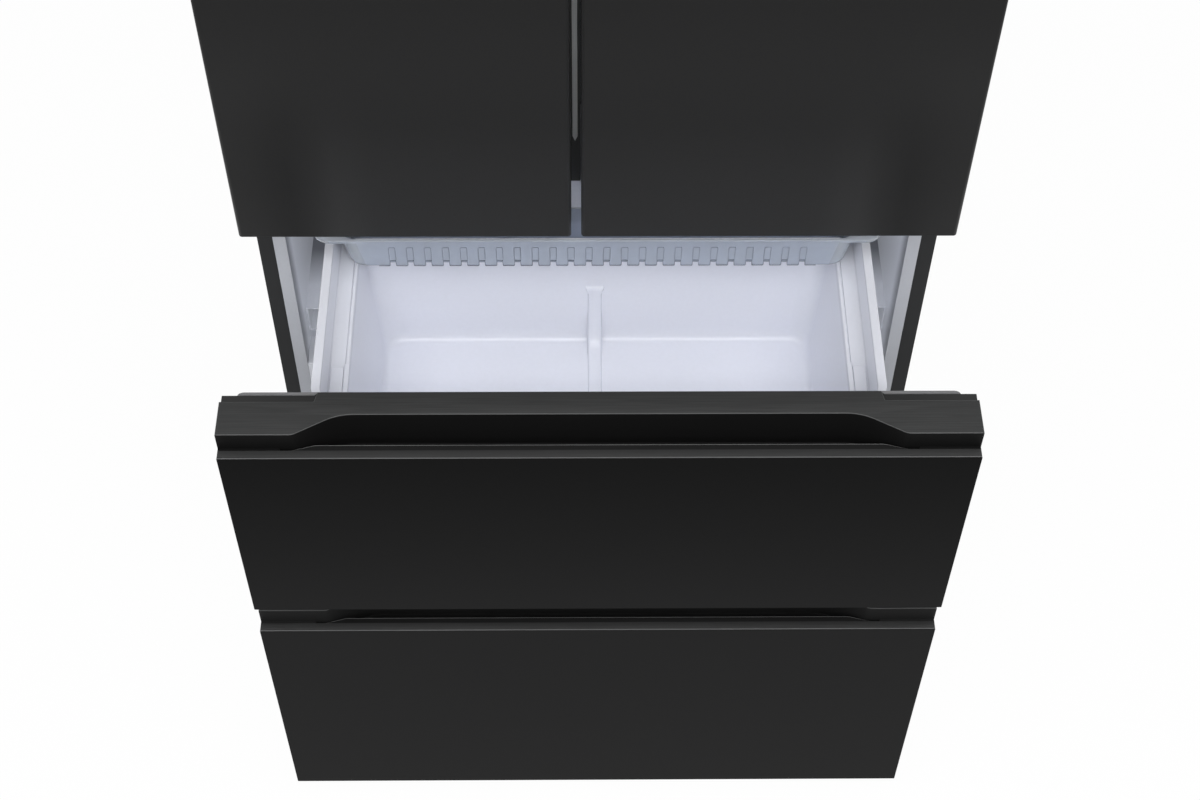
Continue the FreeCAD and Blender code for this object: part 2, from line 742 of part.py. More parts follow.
def pocket_tool(name, lip):
    """The finger pocket's space: a long trough with sloped, rounded ends."""
    mouth = less(add(DRAWER_FACE, S["lip_depth"]), "1")
    front = add(DRAWER_FACE, S["step_setback"])
    back = add(DRAWER_FACE, S["pocket_setback"])
    end = less(HALF_WIDTH, S["pocket_end_margin"])
    inner = less(end, S["pocket_slope_run"])
    wing = add(end, S["pocket_outer_radius"])
    corners = (
        (minus(wing), mouth),
        (wing, mouth),
        (wing, front),
        (end, front),
        (inner, back),
        (minus(inner), back),
        (minus(end), front),
        (minus(wing), front),
    )
    height = add(S["pocket_drop"], S["handle_step"], "1")
    tool = profile(name, corners, height, less(lip, S["pocket_drop"]))
    back_line, front_line, end_line = number_of(back), number_of(front), number_of(end)
    round_uprights(tool, S["pocket_inner_radius"], lambda x, y: abs(y - back_line) < 1e-6)
    return round_uprights(
        tool,
        S["pocket_outer_radius"],
        lambda x, y: abs(y - front_line) < 1e-6 and abs(abs(x) - end_line) < 1e-6,
    )


def drawer_front(side, bottom, lip):
    """Front of a drawer: steel panel with its lip, handle cap, foam, inner liner and seal."""
    top = add(lip, S["handle_step"])
    full_x = (minus(HALF_WIDTH), HALF_WIDTH)
    sheet_in = S["front_sheet"]
    inner_x = (add(full_x[0], sheet_in), less(full_x[1], sheet_in))
    panel_y = (DRAWER_FACE, add(DRAWER_FACE, S["panel_thickness"]))
    back = panel_y[1]
    lip_back = add(DRAWER_FACE, S["lip_depth"])
    blank = block(f"{side}_panel_block", full_x, panel_y, (bottom, lip))
    void = block(
        f"{side}_panel_void",
        inner_x,
        (add(DRAWER_FACE, sheet_in), add(back, sheet_in)),
        (add(bottom, sheet_in), less(lip, sheet_in)),
    )
    slot_y = (lip_back, add(back, sheet_in))
    slot = block(f"{side}_panel_slot", inner_x, slot_y, (bottom, add(lip, sheet_in)))
    kept = block(f"{side}_slot_keep", inner_x, (lip_back, back), (bottom, add(bottom, sheet_in)))
    upper_void = cut(f"{side}_slot_tool", slot, kept)
    piece(f"{side}_front_panel", cut(f"{side}_panel", blank, void, upper_void))

    liner_front = less(back, S["front_liner_sheet"])
    floor = less(lip, S["pocket_drop"], S["pocket_floor"])
    cap_upper = block(
        f"{side}_cap_upper", full_x, (add(DRAWER_FACE, S["step_setback"]), back), (lip, top)
    )
    cap_lower = block(f"{side}_cap_lower", inner_x, (lip_back, liner_front), (floor, lip))
    hump_x = (add(full_x[0], S["hump_side_margin"]), less(full_x[1], S["hump_side_margin"]))
    hump_z = (less(top, S["hump_height"]), top)
    hump = block(f"{side}_cap_hump", hump_x, (back, add(back, S["hump_depth"])), hump_z)
    cap_blank = fuse(f"{side}_cap_blank", cap_upper, cap_lower, hump)
    piece(f"{side}_handle_cap", cut(f"{side}_cap", cap_blank, pocket_tool(f"{side}_pocket", lip)))

    foam_y = (add(DRAWER_FACE, sheet_in), liner_front)
    foam_z = (add(bottom, sheet_in), floor)
    piece(f"{side}_front_foam", block(f"{side}_foam", inner_x, foam_y, foam_z))
    liner = block(f"{side}_liner", inner_x, (liner_front, back), (add(bottom, sheet_in), lip))
    piece(f"{side}_front_liner", liner)
    piece(f"{side}_front_gasket", gasket(f"{side}_seal", full_x, (bottom, top), back))


def bin_shell(side, lip, length, floor, grow):
    """The drawer bin's hollow (grow 0) or its outside (grow the wall), as a stepped, tapered form."""
    rim_top = less(lip, S["rim_below_lip"])
    ledge = less(rim_top, S["ledge_drop"])
    wide = add(less(BIN_HALF, S["bin_rim"]), grow)
    narrow = less(wide, S["ledge_width"])
    foot = less(narrow, S["bin_draft"])
    start = less(add(DRAWER_FACE, S["bin_start"], S["bin_wall"]), grow)
    end = add(DRAWER_FACE, S["bin_start"], length, minus(S["bin_wall"]), grow)
    shelf = less(end, S["rear_shelf"])
    top = rim_top if grow != "0" else add(rim_top, S["bin_wall"])
    upper = block(f"{side}_upper", (minus(wide), wide), (start, end), (less(ledge, grow), top))
    lower = tapered(
        f"{side}_lower",
        ((minus(foot), foot), (start, less(shelf, S["back_draft"]))),
        ((minus(narrow), narrow), (start, shelf)),
        (less(floor, grow), ledge),
    )
    return fuse(side, upper, lower), (start, shelf, ledge, rim_top)


def drawer_bin(side, lip, length, floor):
    """White bin with an outer rim, a ledge below it and a rib across its floor and back."""
    outside, _ = bin_shell(f"{side}_bin_outside", lip, length, floor, S["bin_wall"])
    inside, marks = bin_shell(f"{side}_bin_inside", lip, length, floor, "0")
    start, shelf, ledge, rim_top = marks
    rim = block(
        f"{side}_bin_rim",
        (minus(BIN_HALF), BIN_HALF),
        (add(DRAWER_FACE, S["bin_start"]), add(DRAWER_FACE, S["bin_start"], length)),
        (less(rim_top, S["rim_height"]), rim_top),
    )
    hollow = cut(f"{side}_bin_shell", fuse(f"{side}_bin_blank", outside, rim), inside)
    rib_x = (minus(half(S["rib_width"])), half(S["rib_width"]))
    rib_back = less(shelf, S["back_draft"])
    rib_z = (floor, add(floor, S["rib_height"]))
    floor_rib = block(f"{side}_floor_rib", rib_x, (start, rib_back), rib_z)
    back_rib = tapered(
        f"{side}_back_rib",
        (rib_x, (less(rib_back, S["rib_height"]), rib_back)),
        (rib_x, (less(shelf, S["rib_height"]), shelf)),
        (floor, less(ledge, S["rib_width"])),
    )
    piece(f"{side}_bin", fuse(f"{side}_bin_whole", hollow, floor_rib, back_rib))


def channel(name, x, y, z):
    """A rolled slide member: a bar hollowed from its inner side."""
    sheet_in = S["slide_sheet"]
    hollow_x = (less(x[0], sheet_in), less(x[1], sheet_in))
    hollow_z = (add(z[0], sheet_in), less(z[1], sheet_in))
    return cut(name, block(name + "_bar", x, y, z), block(name + "_hollow", hollow_x, y, hollow_z))


def slides(side, floor):
    """Telescopic slides: the cabinet's member, the middle one and the drawer's own with its hanger."""
    underside = less(floor, S["bin_wall"])
    low = less(underside, S["slide_drop"])
    z = (low, add(low, S["slide_height"]))
    setback = add(CABINET_FRONT, S["rail_depth"], S["seal_clearance"])
    rear = less(STEP_BACK, S["slide_end_gap"])
    outer = channel(f"{side}_outer_slide", (OUTER_SLIDE, HALF_INSIDE), (setback, rear), z)

    middle_x = (MIDDLE_SLIDE, less(OUTER_SLIDE, S["slide_gap"]))
    shift = half(S["drawer_pull"])
    margin = half(S["slide_sheet"])
    middle_z = (add(z[0], margin), less(z[1], margin))
    middle_y = (less(setback, shift), less(rear, shift))
    middle = channel(f"{side}_middle_slide", middle_x, middle_y, middle_z)
    piece(f"{side}_middle_slides", both(f"{side}_middle_pair", middle))

    inner_x = (INNER_SLIDE, less(MIDDLE_SLIDE, S["slide_gap"]))
    front = add(DRAWER_FACE, S["panel_thickness"])
    inner_y = (front, less(rear, S["drawer_pull"]))
    bar = block(f"{side}_inner_bar", inner_x, inner_y, middle_z)
    bin_foot = less(BIN_HALF, S["bin_rim"], S["ledge_width"], S["bin_draft"])
    hanger_x = (less(bin_foot, S["hanger_bearing"]), inner_x[1])
    hanger_y = (add(front, S["gasket_depth"]), less(inner_y[1], S["slide_setback"]))
    seat = less(underside, S["slide_gap"])
    hanger = block(f"{side}_hanger", hanger_x, hanger_y, (less(seat, S["hanger_thickness"]), seat))
    piece(f"{side}_drawer_slides", both(f"{side}_inner_pair", fuse(f"{side}_inner_slide", bar, hanger)))
    return outer


def upper_tray():
    """Clear shallow tray that rides on the upper bin's rim, with a slotted front wall."""
    rim_top = less(UPPER_LIP, S["rim_below_lip"])
    seat = add(rim_top, S["slide_gap"])
    end = less(add(DRAWER_FACE, S["bin_start"], UPPER_BIN_LENGTH), S["tray_rear_gap"])
    start = less(end, S["tray_length"])
    wide = add(BIN_HALF, S["tray_overhang"])
    corners = ((minus(wide), start), (wide, start), (wide, end), (minus(wide), end))
    flange = profile("tray_flange_blank", corners, S["tray_flange"], seat)
    line = number_of(start)
    round_uprights(flange, S["tray_corner_radius"], lambda x, y: abs(y - line) < 1e-6)

    floor = less(seat, S["tray_drop"])
    side = less(BIN_HALF, S["bin_rim"], S["tray_side_gap"])
    front = add(start, S["tray_front_overhang"])
    rear = less(end, S["tray_side_gap"])
    wall = S["tray_wall"]
    foot = less(side, S["tray_draft"])
    foot_y = (add(front, S["tray_front_draft"]), less(rear, S["tray_draft"]))
    tub = tapered(
        "tray_tub",
        ((minus(foot), foot), foot_y),
        ((minus(side), side), (front, rear)),
        (floor, seat),
    )
    hollow = tapered(
        "tray_hollow",
        ((less(wall, foot), less(foot, wall)), (add(foot_y[0], wall), less(foot_y[1], wall))),
        ((less(wall, side), less(side, wall)), (add(front, wall), less(rear, wall))),
        (add(floor, wall), add(seat, S["tray_flange"])),
    )
    slots = []
    pitch = f"(2 * {less(side, S['slot_end_margin'])} / ({S['slot_count']} - 1))"
    for number in range(count("slot_count")):
        middle = times(number - (count("slot_count") - 1) / 2, pitch)
        slot_x = (less(middle, half(S["slot_width"])), add(middle, half(S["slot_width"])))
        slot_y = (start, add(foot_y[0], S["slot_floor_reach"]))
        slot_z = (less(floor, wall), less(seat, S["slot_top_margin"]))
        slots.append(block(f"tray_slot_{number}", slot_x, slot_y, slot_z))
    piece("upper_tray", cut("tray", fuse("tray_blank", flange, tub), hollow, *slots))


def fresh_food_fittings():
    """Glass shelves and their trims, crisper drawers, air duct and ceiling light."""
    gap = S["seal_clearance"]
    front = add(CABINET_FRONT, S["shelf_setback"])
    duct_front = less(INSIDE_BACK, S["duct_depth"])
    shelf_x = (add(minus(HALF_INSIDE), gap), less(HALF_INSIDE, gap))
    glass_y = (add(front, S["shelf_trim_depth"]), less(duct_front, S["shelf_trim_depth"]))
    crisper_top = add(FRIDGE_FLOOR, gap, S["crisper_height"])
    cover_low = add(crisper_top, S["crisper_cover_gap"])
    levels = [cover_low]
    rise = f"({less(FRIDGE_CEILING, cover_low)} / ({S['shelf_count']} + 1))"
    for number in range(count("shelf_count")):
        levels.append(add(cover_low, times(number + 1, rise)))
    panes, trims = [], []
    for number, level in enumerate(levels):
        top = add(level, S["shelf_glass"])
        panes.append(block(f"shelf_{number}", shelf_x, glass_y, (level, top)))
        trim_z = (less(top, S["shelf_trim_height"]), top)
        trims.append(block(f"front_trim_{number}", shelf_x, (front, glass_y[0]), trim_z))
        trims.append(block(f"rear_trim_{number}", shelf_x, (glass_y[1], duct_front), trim_z))
    piece("glass_shelves", group("shelf_set", *panes))
    piece("shelf_trims", group("trim_set", *trims))

    crisper_y = (front, less(duct_front, S["crisper_rear_gap"]))
    crisper_z = (add(FRIDGE_FLOOR, gap), crisper_top)
    middle = half(S["crisper_gap"])
    for side, x in (
        ("left", (add(minus(HALF_INSIDE), S["crisper_gap"]), minus(middle))),
        ("right", (middle, less(HALF_INSIDE, S["crisper_gap"]))),
    ):
        wall = S["crisper_wall"]
        piece(f"{side}_crisper", open_box(f"{side}_crisper_box", x, crisper_y, crisper_z, wall, wall))

    duct_x = (minus(half(S["duct_width"])), half(S["duct_width"]))
    duct_z = (add(FRIDGE_FLOOR, S["duct_margin"]), less(FRIDGE_CEILING, S["duct_margin"]))
    duct_back = block("duct_block", duct_x, (duct_front, INSIDE_BACK), duct_z)
    wall = S["crisper_wall"]
    hollow = block(
        "duct_hollow",
        (add(duct_x[0], wall), less(duct_x[1], wall)),
        (add(duct_front, wall), add(INSIDE_BACK, wall)),
        (add(duct_z[0], wall), less(duct_z[1], wall)),
    )
    vents = []
    pitch = f"({less(duct_z[1], duct_z[0])} / ({S['vent_count']} + 1))"
    vent_x = (minus(half(S["vent_width"])), half(S["vent_width"]))
    for number in range(count("vent_count")):
        low = add(duct_z[0], times(number + 1, pitch))
        vent_z = (low, add(low, S["vent_height"]))
        vents.append(block(f"vent_{number}", vent_x, (less(duct_front, wall), INSIDE_BACK), vent_z))
    piece("air_duct", cut("duct", duct_back, hollow, *vents))

    light_x = (minus(half(S["light_width"])), half(S["light_width"]))
    light_y = (front, add(front, S["light_depth"]))
    light_z = (less(FRIDGE_CEILING, S["light_height"]), FRIDGE_CEILING)
    piece("ceiling_light", block("light", light_x, light_y, light_z))


def finned(name, x, y, z):
    """A block with upright grooves between its fins, joined along its middle."""
    blank = block(name + "_core", x, y, z)
    grooves = []
    pitch = f"({less(x[1], x[0])} / {S['fin_count']})"
    third = f"({less(y[1], y[0])} / 3)"
    for number in range(count("fin_count")):
        low = add(x[0], times(number, pitch), half(less(pitch, half(pitch))))
        groove_x = (low, add(low, half(pitch)))
        near = (less(y[0], "1"), add(y[0], third))
        far = (less(y[1], third), add(y[1], "1"))
        grooves.append(block(f"{name}_near_{number}", groove_x, near, z))
        grooves.append(block(f"{name}_far_{number}", groove_x, far, z))
    return cut(name, blank, *grooves)


def cooling():
    """Evaporator and its cover in the freezer; compressor, condenser and fan in the machine space."""
    cover_y = (COLD_COVER, add(COLD_COVER, S["evaporator_cover_sheet"]))
    cover_z = (STEP_TOP, FREEZER_CEILING)
    plate = block("cold_plate", (minus(HALF_INSIDE), HALF_INSIDE), cover_y, cover_z)
    slots = []
    span = less(cover_z[1], cover_z[0])
    slot_x = (minus(half(S["cover_slot_width"])), half(S["cover_slot_width"]))
    for number in range(3):
        low = add(cover_z[0], times((number + 1) / 4, span))
        slot_z = (low, add(low, S["cover_slot_height"]))
        slots.append(block(f"cold_slot_{number}", slot_x, cover_y, slot_z))
    piece("evaporator_cover", cut("cold_cover", plate, *slots))
    coil_half = less(HALF_INSIDE, S["evaporator_margin"])
    coil_y = (less(INSIDE_BACK, S["evaporator_depth"]), INSIDE_BACK)
    middle = half(add(cover_z[0], cover_z[1]))
    reach = half(S["evaporator_height"])
    coil_z = (less(middle, reach), add(middle, reach))
    piece("evaporator", finned("cold_coil", (minus(coil_half), coil_half), coil_y, coil_z))

    machine_middle = less(CABINET_BACK, half(S["machine_depth"]))
    compressor(less(HALF_CABINET, S["compressor_inset"]), machine_middle)

    coil_middle = less(S["condenser_inset"], HALF_CABINET)
    coil_half = half(S["condenser_width"])
    block_x = (less(coil_middle, coil_half), add(coil_middle, coil_half))
    reach = half(S["condenser_depth"])
    block_y = (less(machine_middle, reach), add(machine_middle, reach))
    block_z = (BASE_TOP, add(BASE_TOP, S["condenser_height"]))
    piece("condenser", finned("hot_coil", block_x, block_y, block_z))
    fan(block_x[1], machine_middle, add(BASE_TOP, half(S["condenser_height"])))
    machine_cover()


def compressor(x, y):
    """Rounded pot on four feet, with a neck on top."""
    foot = S["compressor_foot"]
    foot_top = add(BASE_TOP, foot)
    pot = rod("pot", S["compressor_radius"], S["compressor_height"], x, y, foot_top)
    dome = doc.addObject("Part::Fillet", "pot_round")
    dome.Base = pot
    rounding = value("compressor_round")
    dome.Edges = [(1, rounding, rounding), (3, rounding, rounding)]
    neck = rod("pot_neck", foot, foot, x, y, add(foot_top, S["compressor_height"]))
    reach = half(S["compressor_radius"])
    height = add(foot, reach)
    feet = []
    for number, (sx, sy) in enumerate(((-1, -1), (1, -1), (-1, 1), (1, 1))):
        foot_x = add(x, times(sx, reach))
        foot_y = add(y, times(sy, reach))
        feet.append(rod(f"pot_foot_{number}", foot, height, foot_x, foot_y, BASE_TOP))
    piece("compressor", fuse("compressor_whole", dome, neck, *feet))


def machine_cover():
    """Slotted sheet over the back of the machine space."""
    slots = []
    grille_x = (minus(HALF_CABINET), HALF_CABINET)
    grille_y = (less(CABINET_BACK, S["shell_sheet"]), CABINET_BACK)
    grille_z = (S["floor_gap"], S["machine_height"])
    pitch = f"({less(grille_z[1], grille_z[0])} / ({S['cover_slot_count']} + 1))"
    near = S["cover_slot_middle"]
    far = add(near, S["cover_slot_width"])
    for number in range(count("cover_slot_count")):
        low = add(grille_z[0], times(number + 1, pitch))
        slot_z = (low, add(low, S["cover_slot_height"]))
        slots.append(block(f"cover_slot_right_{number}", (near, far), grille_y, slot_z))
        slots.append(block(f"cover_slot_left_{number}", (minus(far), minus(near)), grille_y, slot_z))
    piece("machine_cover", cut("grille", block("grille_plate", grille_x, grille_y, grille_z), *slots))


def fan(x, y, z):
    """Condenser fan on its bracket's shaft, turning about the X axis."""
    gap = S["slide_gap"]
    start = add(x, S["fan_bracket"], gap)
    hub = rod("fan_hub", S["fan_hub_radius"], S["fan_depth"], start, y, z, "x")
    blades = []
    for number in range(count("fan_blade_count")):
        blade = doc.addObject("Part::Box", f"fan_blade_{number}")
        bind(blade, Length=S["fan_depth"], Width=S["fan_blade_sheet"], Height=S["fan_radius"])
        turn = FreeCAD.Rotation(FreeCAD.Vector(1, 0, 0), 360.0 * number / count("fan_blade_count"))
        tilt = FreeCAD.Rotation(FreeCAD.Vector(0, 0, 1), value("fan_blade_angle"))
        blade.Placement = FreeCAD.Placement(FreeCAD.Vector(), turn.multiply(tilt))
        put(blade, start, y, z)
        blades.append(blade)
    limit = rod("fan_limit", S["fan_radius"], S["fan_depth"], start, y, z, "x")
    wheel = doc.addObject("Part::Common", "fan_wheel")
    wheel.Base = fuse("fan_blank", hub, *blades)
    wheel.Tool = limit
    bore = add(S["fan_shaft_radius"], S["fan_shaft_clearance"])
    shaft_length = add(S["fan_depth"], S["fan_bracket"])
    hole = rod("fan_bore", bore, shaft_length, x, y, z, "x")
    piece("condenser_fan", cut("fan_turned", wheel, hole))
    post_y = (less(y, S["fan_hub_radius"]), add(y, S["fan_hub_radius"]))
    shaft_from = add(x, S["fan_bracket"])
    post_z = (BASE_TOP, add(z, S["fan_hub_radius"]))
    post = block("fan_post", (x, shaft_from), post_y, post_z)
    shaft = rod("fan_shaft", S["fan_shaft_radius"], S["fan_depth"], shaft_from, y, z, "x")
    piece("fan_bracket", fuse("fan_stand", post, shaft))


def feet():
    """Levelling feet in front, rollers in their forks behind and the toe grille."""
    x = less(HALF_CABINET, S["foot_inset"])
    y = add(CABINET_FRONT, S["foot_setback"])
    pad = rod("foot_pad", S["foot_radius"], S["foot_pad_height"], x, y, "0")
    stem = rod("foot_stem", S["foot_stem_radius"], S["floor_gap"], x, y, "0")
    piece("levelling_feet", both("foot_pair", fuse("foot", pad, stem)))

    gap = S["slide_gap"]
    wheel_x = less(HALF_CABINET, S["roller_inset"], half(S["roller_width"]))
    axle_y = less(CABINET_BACK, S["roller_setback"])
    axle_z = S["roller_radius"]
    wheel = cut(
        "roller",
        rod("roller_wheel", S["roller_radius"], S["roller_width"], wheel_x, axle_y, axle_z, "x"),
        rod(
            "roller_bore",
            add(S["roller_axle_radius"], S["roller_axle_clearance"]),
            S["roller_width"],
            wheel_x,
            axle_y,
            axle_z,
            "x",
        ),
    )
    piece("rear_rollers", both("roller_pair", wheel))
    cheeks = []
    reach = add(S["roller_axle_radius"], S["roller_fork"])
    cheek_y = (less(axle_y, reach), add(axle_y, reach))
    cheek_z = (less(axle_z, reach), S["floor_gap"])
    for name, low in (
        ("inner", less(wheel_x, gap, S["roller_fork"])),
        ("outer", add(wheel_x, S["roller_width"], gap)),
    ):
        cheeks.append(block(f"fork_{name}", (low, add(low, S["roller_fork"])), cheek_y, cheek_z))
    axle_from = less(wheel_x, gap, S["roller_fork"])
    axle_length = add(S["roller_width"], times(2, gap), times(2, S["roller_fork"]))
    axle = rod("roller_axle", S["roller_axle_radius"], axle_length, axle_from, axle_y, axle_z, "x")
    piece("roller_forks", both("fork_pair", fuse("fork", axle, *cheeks)))

    grille_front = add(CABINET_FRONT, S["shell_sheet"])
    grille_y = (grille_front, add(grille_front, S["grille_sheet"]))
    grille_z = (S["grille_clearance"], S["floor_gap"])
    grille_x = (minus(LINER_FLANGE_EDGE), LINER_FLANGE_EDGE)
    piece("toe_grille", block("toe", grille_x, grille_y, grille_z))


cabinet()
door("left", (minus(HALF_WIDTH), LEFT_DOOR_EDGE))
door("right", (RIGHT_DOOR_EDGE, HALF_WIDTH))
flip_bar()
hinges()
outer_slides = []
for drawer, bottom_edge, lip_edge, bin_length, bin_floor in (
    ("upper", UPPER_BOTTOM, UPPER_LIP, UPPER_BIN_LENGTH, UPPER_BIN_FLOOR),
    ("lower", S["lower_front_bottom"], LOWER_LIP, LOWER_BIN_LENGTH, LOWER_BIN_FLOOR),
):
    drawer_front(drawer, bottom_edge, lip_edge)
    drawer_bin(drawer, lip_edge, bin_length, bin_floor)
    outer = slides(drawer, bin_floor)
    outer_slides += [outer, mirrored(f"{drawer}_outer_other", outer)]
piece("cabinet_slides", group("outer_slide_set", *outer_slides))
upper_tray()
fresh_food_fittings()
cooling()
feet()
doc.recompute()

for made in doc.Objects:
    if "Invalid" in made.State or "Error" in made.State:
        raise RuntimeError(f"{made.Name} failed: {made.State}")
for label, made in pieces.items():
    if made.Shape.isNull() or not made.Shape.isValid() or not made.Shape.Solids:
        raise RuntimeError(f"{label} is not a sound solid")

os.makedirs("parts", exist_ok=True)
for label, made in pieces.items():
    made.Shape.exportStep(f"parts/{label}.step")
print(f"{len(pieces)} pieces written")
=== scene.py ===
"""Looks of a dark multi-door refrigerator with its two freezer drawers drawn open.

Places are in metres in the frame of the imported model: +Z up, +X to the viewer's right, +Y from the doors
to the back. The sizes of the modelled pieces are in millimetres.
"""

import logging
import math
from dataclasses import dataclass, field, replace
from enum import Enum
from typing import Iterable, Sequence

import bpy
from mathutils import Matrix, Vector


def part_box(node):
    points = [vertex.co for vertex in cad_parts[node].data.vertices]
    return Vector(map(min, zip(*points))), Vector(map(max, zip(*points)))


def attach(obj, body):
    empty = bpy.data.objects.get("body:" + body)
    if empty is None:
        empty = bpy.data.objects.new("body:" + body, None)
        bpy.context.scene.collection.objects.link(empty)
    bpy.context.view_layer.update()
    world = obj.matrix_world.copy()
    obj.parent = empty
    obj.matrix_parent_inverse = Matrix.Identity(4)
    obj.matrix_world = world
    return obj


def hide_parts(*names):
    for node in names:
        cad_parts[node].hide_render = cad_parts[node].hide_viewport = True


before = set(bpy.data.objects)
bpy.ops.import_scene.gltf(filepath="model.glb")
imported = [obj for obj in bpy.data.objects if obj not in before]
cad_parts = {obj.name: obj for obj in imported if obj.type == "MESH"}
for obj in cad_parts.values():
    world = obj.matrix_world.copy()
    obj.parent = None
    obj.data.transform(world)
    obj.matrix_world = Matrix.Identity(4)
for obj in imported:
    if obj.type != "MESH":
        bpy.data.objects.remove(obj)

LOG = logging.getLogger("refrigerator")
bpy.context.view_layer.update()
MM = 0.001
TINY = 1e-6

Piece = bpy.types.Object
Tree = bpy.types.NodeTree
Node = bpy.types.Node
Socket = bpy.types.NodeSocket
Pair = tuple[float, float]
Point = tuple[float, float, float]
Section = tuple[float, float, float, float, float]
Turn = tuple[Section, float]
Span = tuple[Pair, Pair, Pair]

BOX_FACES = ((0, 3, 2, 1), (4, 5, 6, 7), (0, 1, 5, 4), (1, 2, 6, 5), (2, 3, 7, 6), (3, 0, 4, 7))

# Every finish has fine marks with broad, faint clouds under them.
MARK_DETAIL = 4.0
MARK_ENDS = (0.40, 0.95)
CLOUD_SCALE = 3.0
CLOUD_DETAIL = 2.0
CLOUD_SHARE = 0.35
ROUGH_ENDS = (0.3, 0.7)
LEAST_ROUGHNESS = 0.02
BUMP_STRENGTH = 0.6
# Tint of the glow: the lamp lens's own light, and painted light of the compartments' lamps elsewhere.
LAMP_TINT = (0.90, 0.93, 1.0, 1.0)
SCATTER_RADIUS = (0.004, 0.004, 0.005)
DRAWER_PITCH = 0.349

# How much of a side a rounded corner or turn may take up, and how plain edges are eased.
CORNER_SHARE = 0.98
TURN_SHARE = 0.45
EASE_ANGLE = 40.0
EASE_SEGMENTS = 2


class Grain(Enum):
    """Direction in which a surface's fine marks run, as stretch factors of its pattern."""

    EVEN = (1.0, 1.0, 1.0)
    ALONG_X = (0.012, 1.0, 1.0)
    ALONG_Y = (1.0, 0.012, 1.0)
    ALONG_Z = (1.0, 1.0, 0.012)


class Way(Enum):
    """Direction along which a finish's painted shade changes, by its coordinate."""

    DEPTH = "Y"
    HEIGHT = "Z"


class Slot(Enum):
    """Material slot of the record, listed beside each lip strip's finish but not read."""

    BIN_WHITE = "bin_white"
    CLEAR_PLASTIC = "clear_plastic"
    BRUSHED_DARK = "brushed_dark"
    BLACK_PLASTIC = "black_plastic"
    GRAPHITE_STEEL = "graphite_steel"
    STRIP_GREY = "strip_grey"
    SEAL_GREY = "seal_grey"


def add_node(tree: Tree, kind: str, **inputs: object) -> Node:
    """Adds a shader node.

    Args:
        tree: node tree to add to.
        kind: node type without its common beginning.
        inputs: values of its inputs, by name with _ for each space.

    Returns:
        The node.
    """
    node = tree.nodes.new("ShaderNode" + kind)
    for name, value in inputs.items():
        node.inputs[name.replace("_", " ")].default_value = value
    return node


def add_math(tree: Tree, operation: str, *values: Socket | float) -> Socket:
    """Adds a math node.

    Args:
        tree: node tree to add to.
        operation: what the node works out.
        values: its inputs in order, each a socket or a number.

    Returns:
        The socket with the result.
    """
    node = add_node(tree, "Math")
    node.operation = operation
    for socket, value in zip(node.inputs, values):
        if isinstance(value, Socket):
            tree.links.new(value, socket)
        else:
            socket.default_value = value
    return node.outputs["Value"]


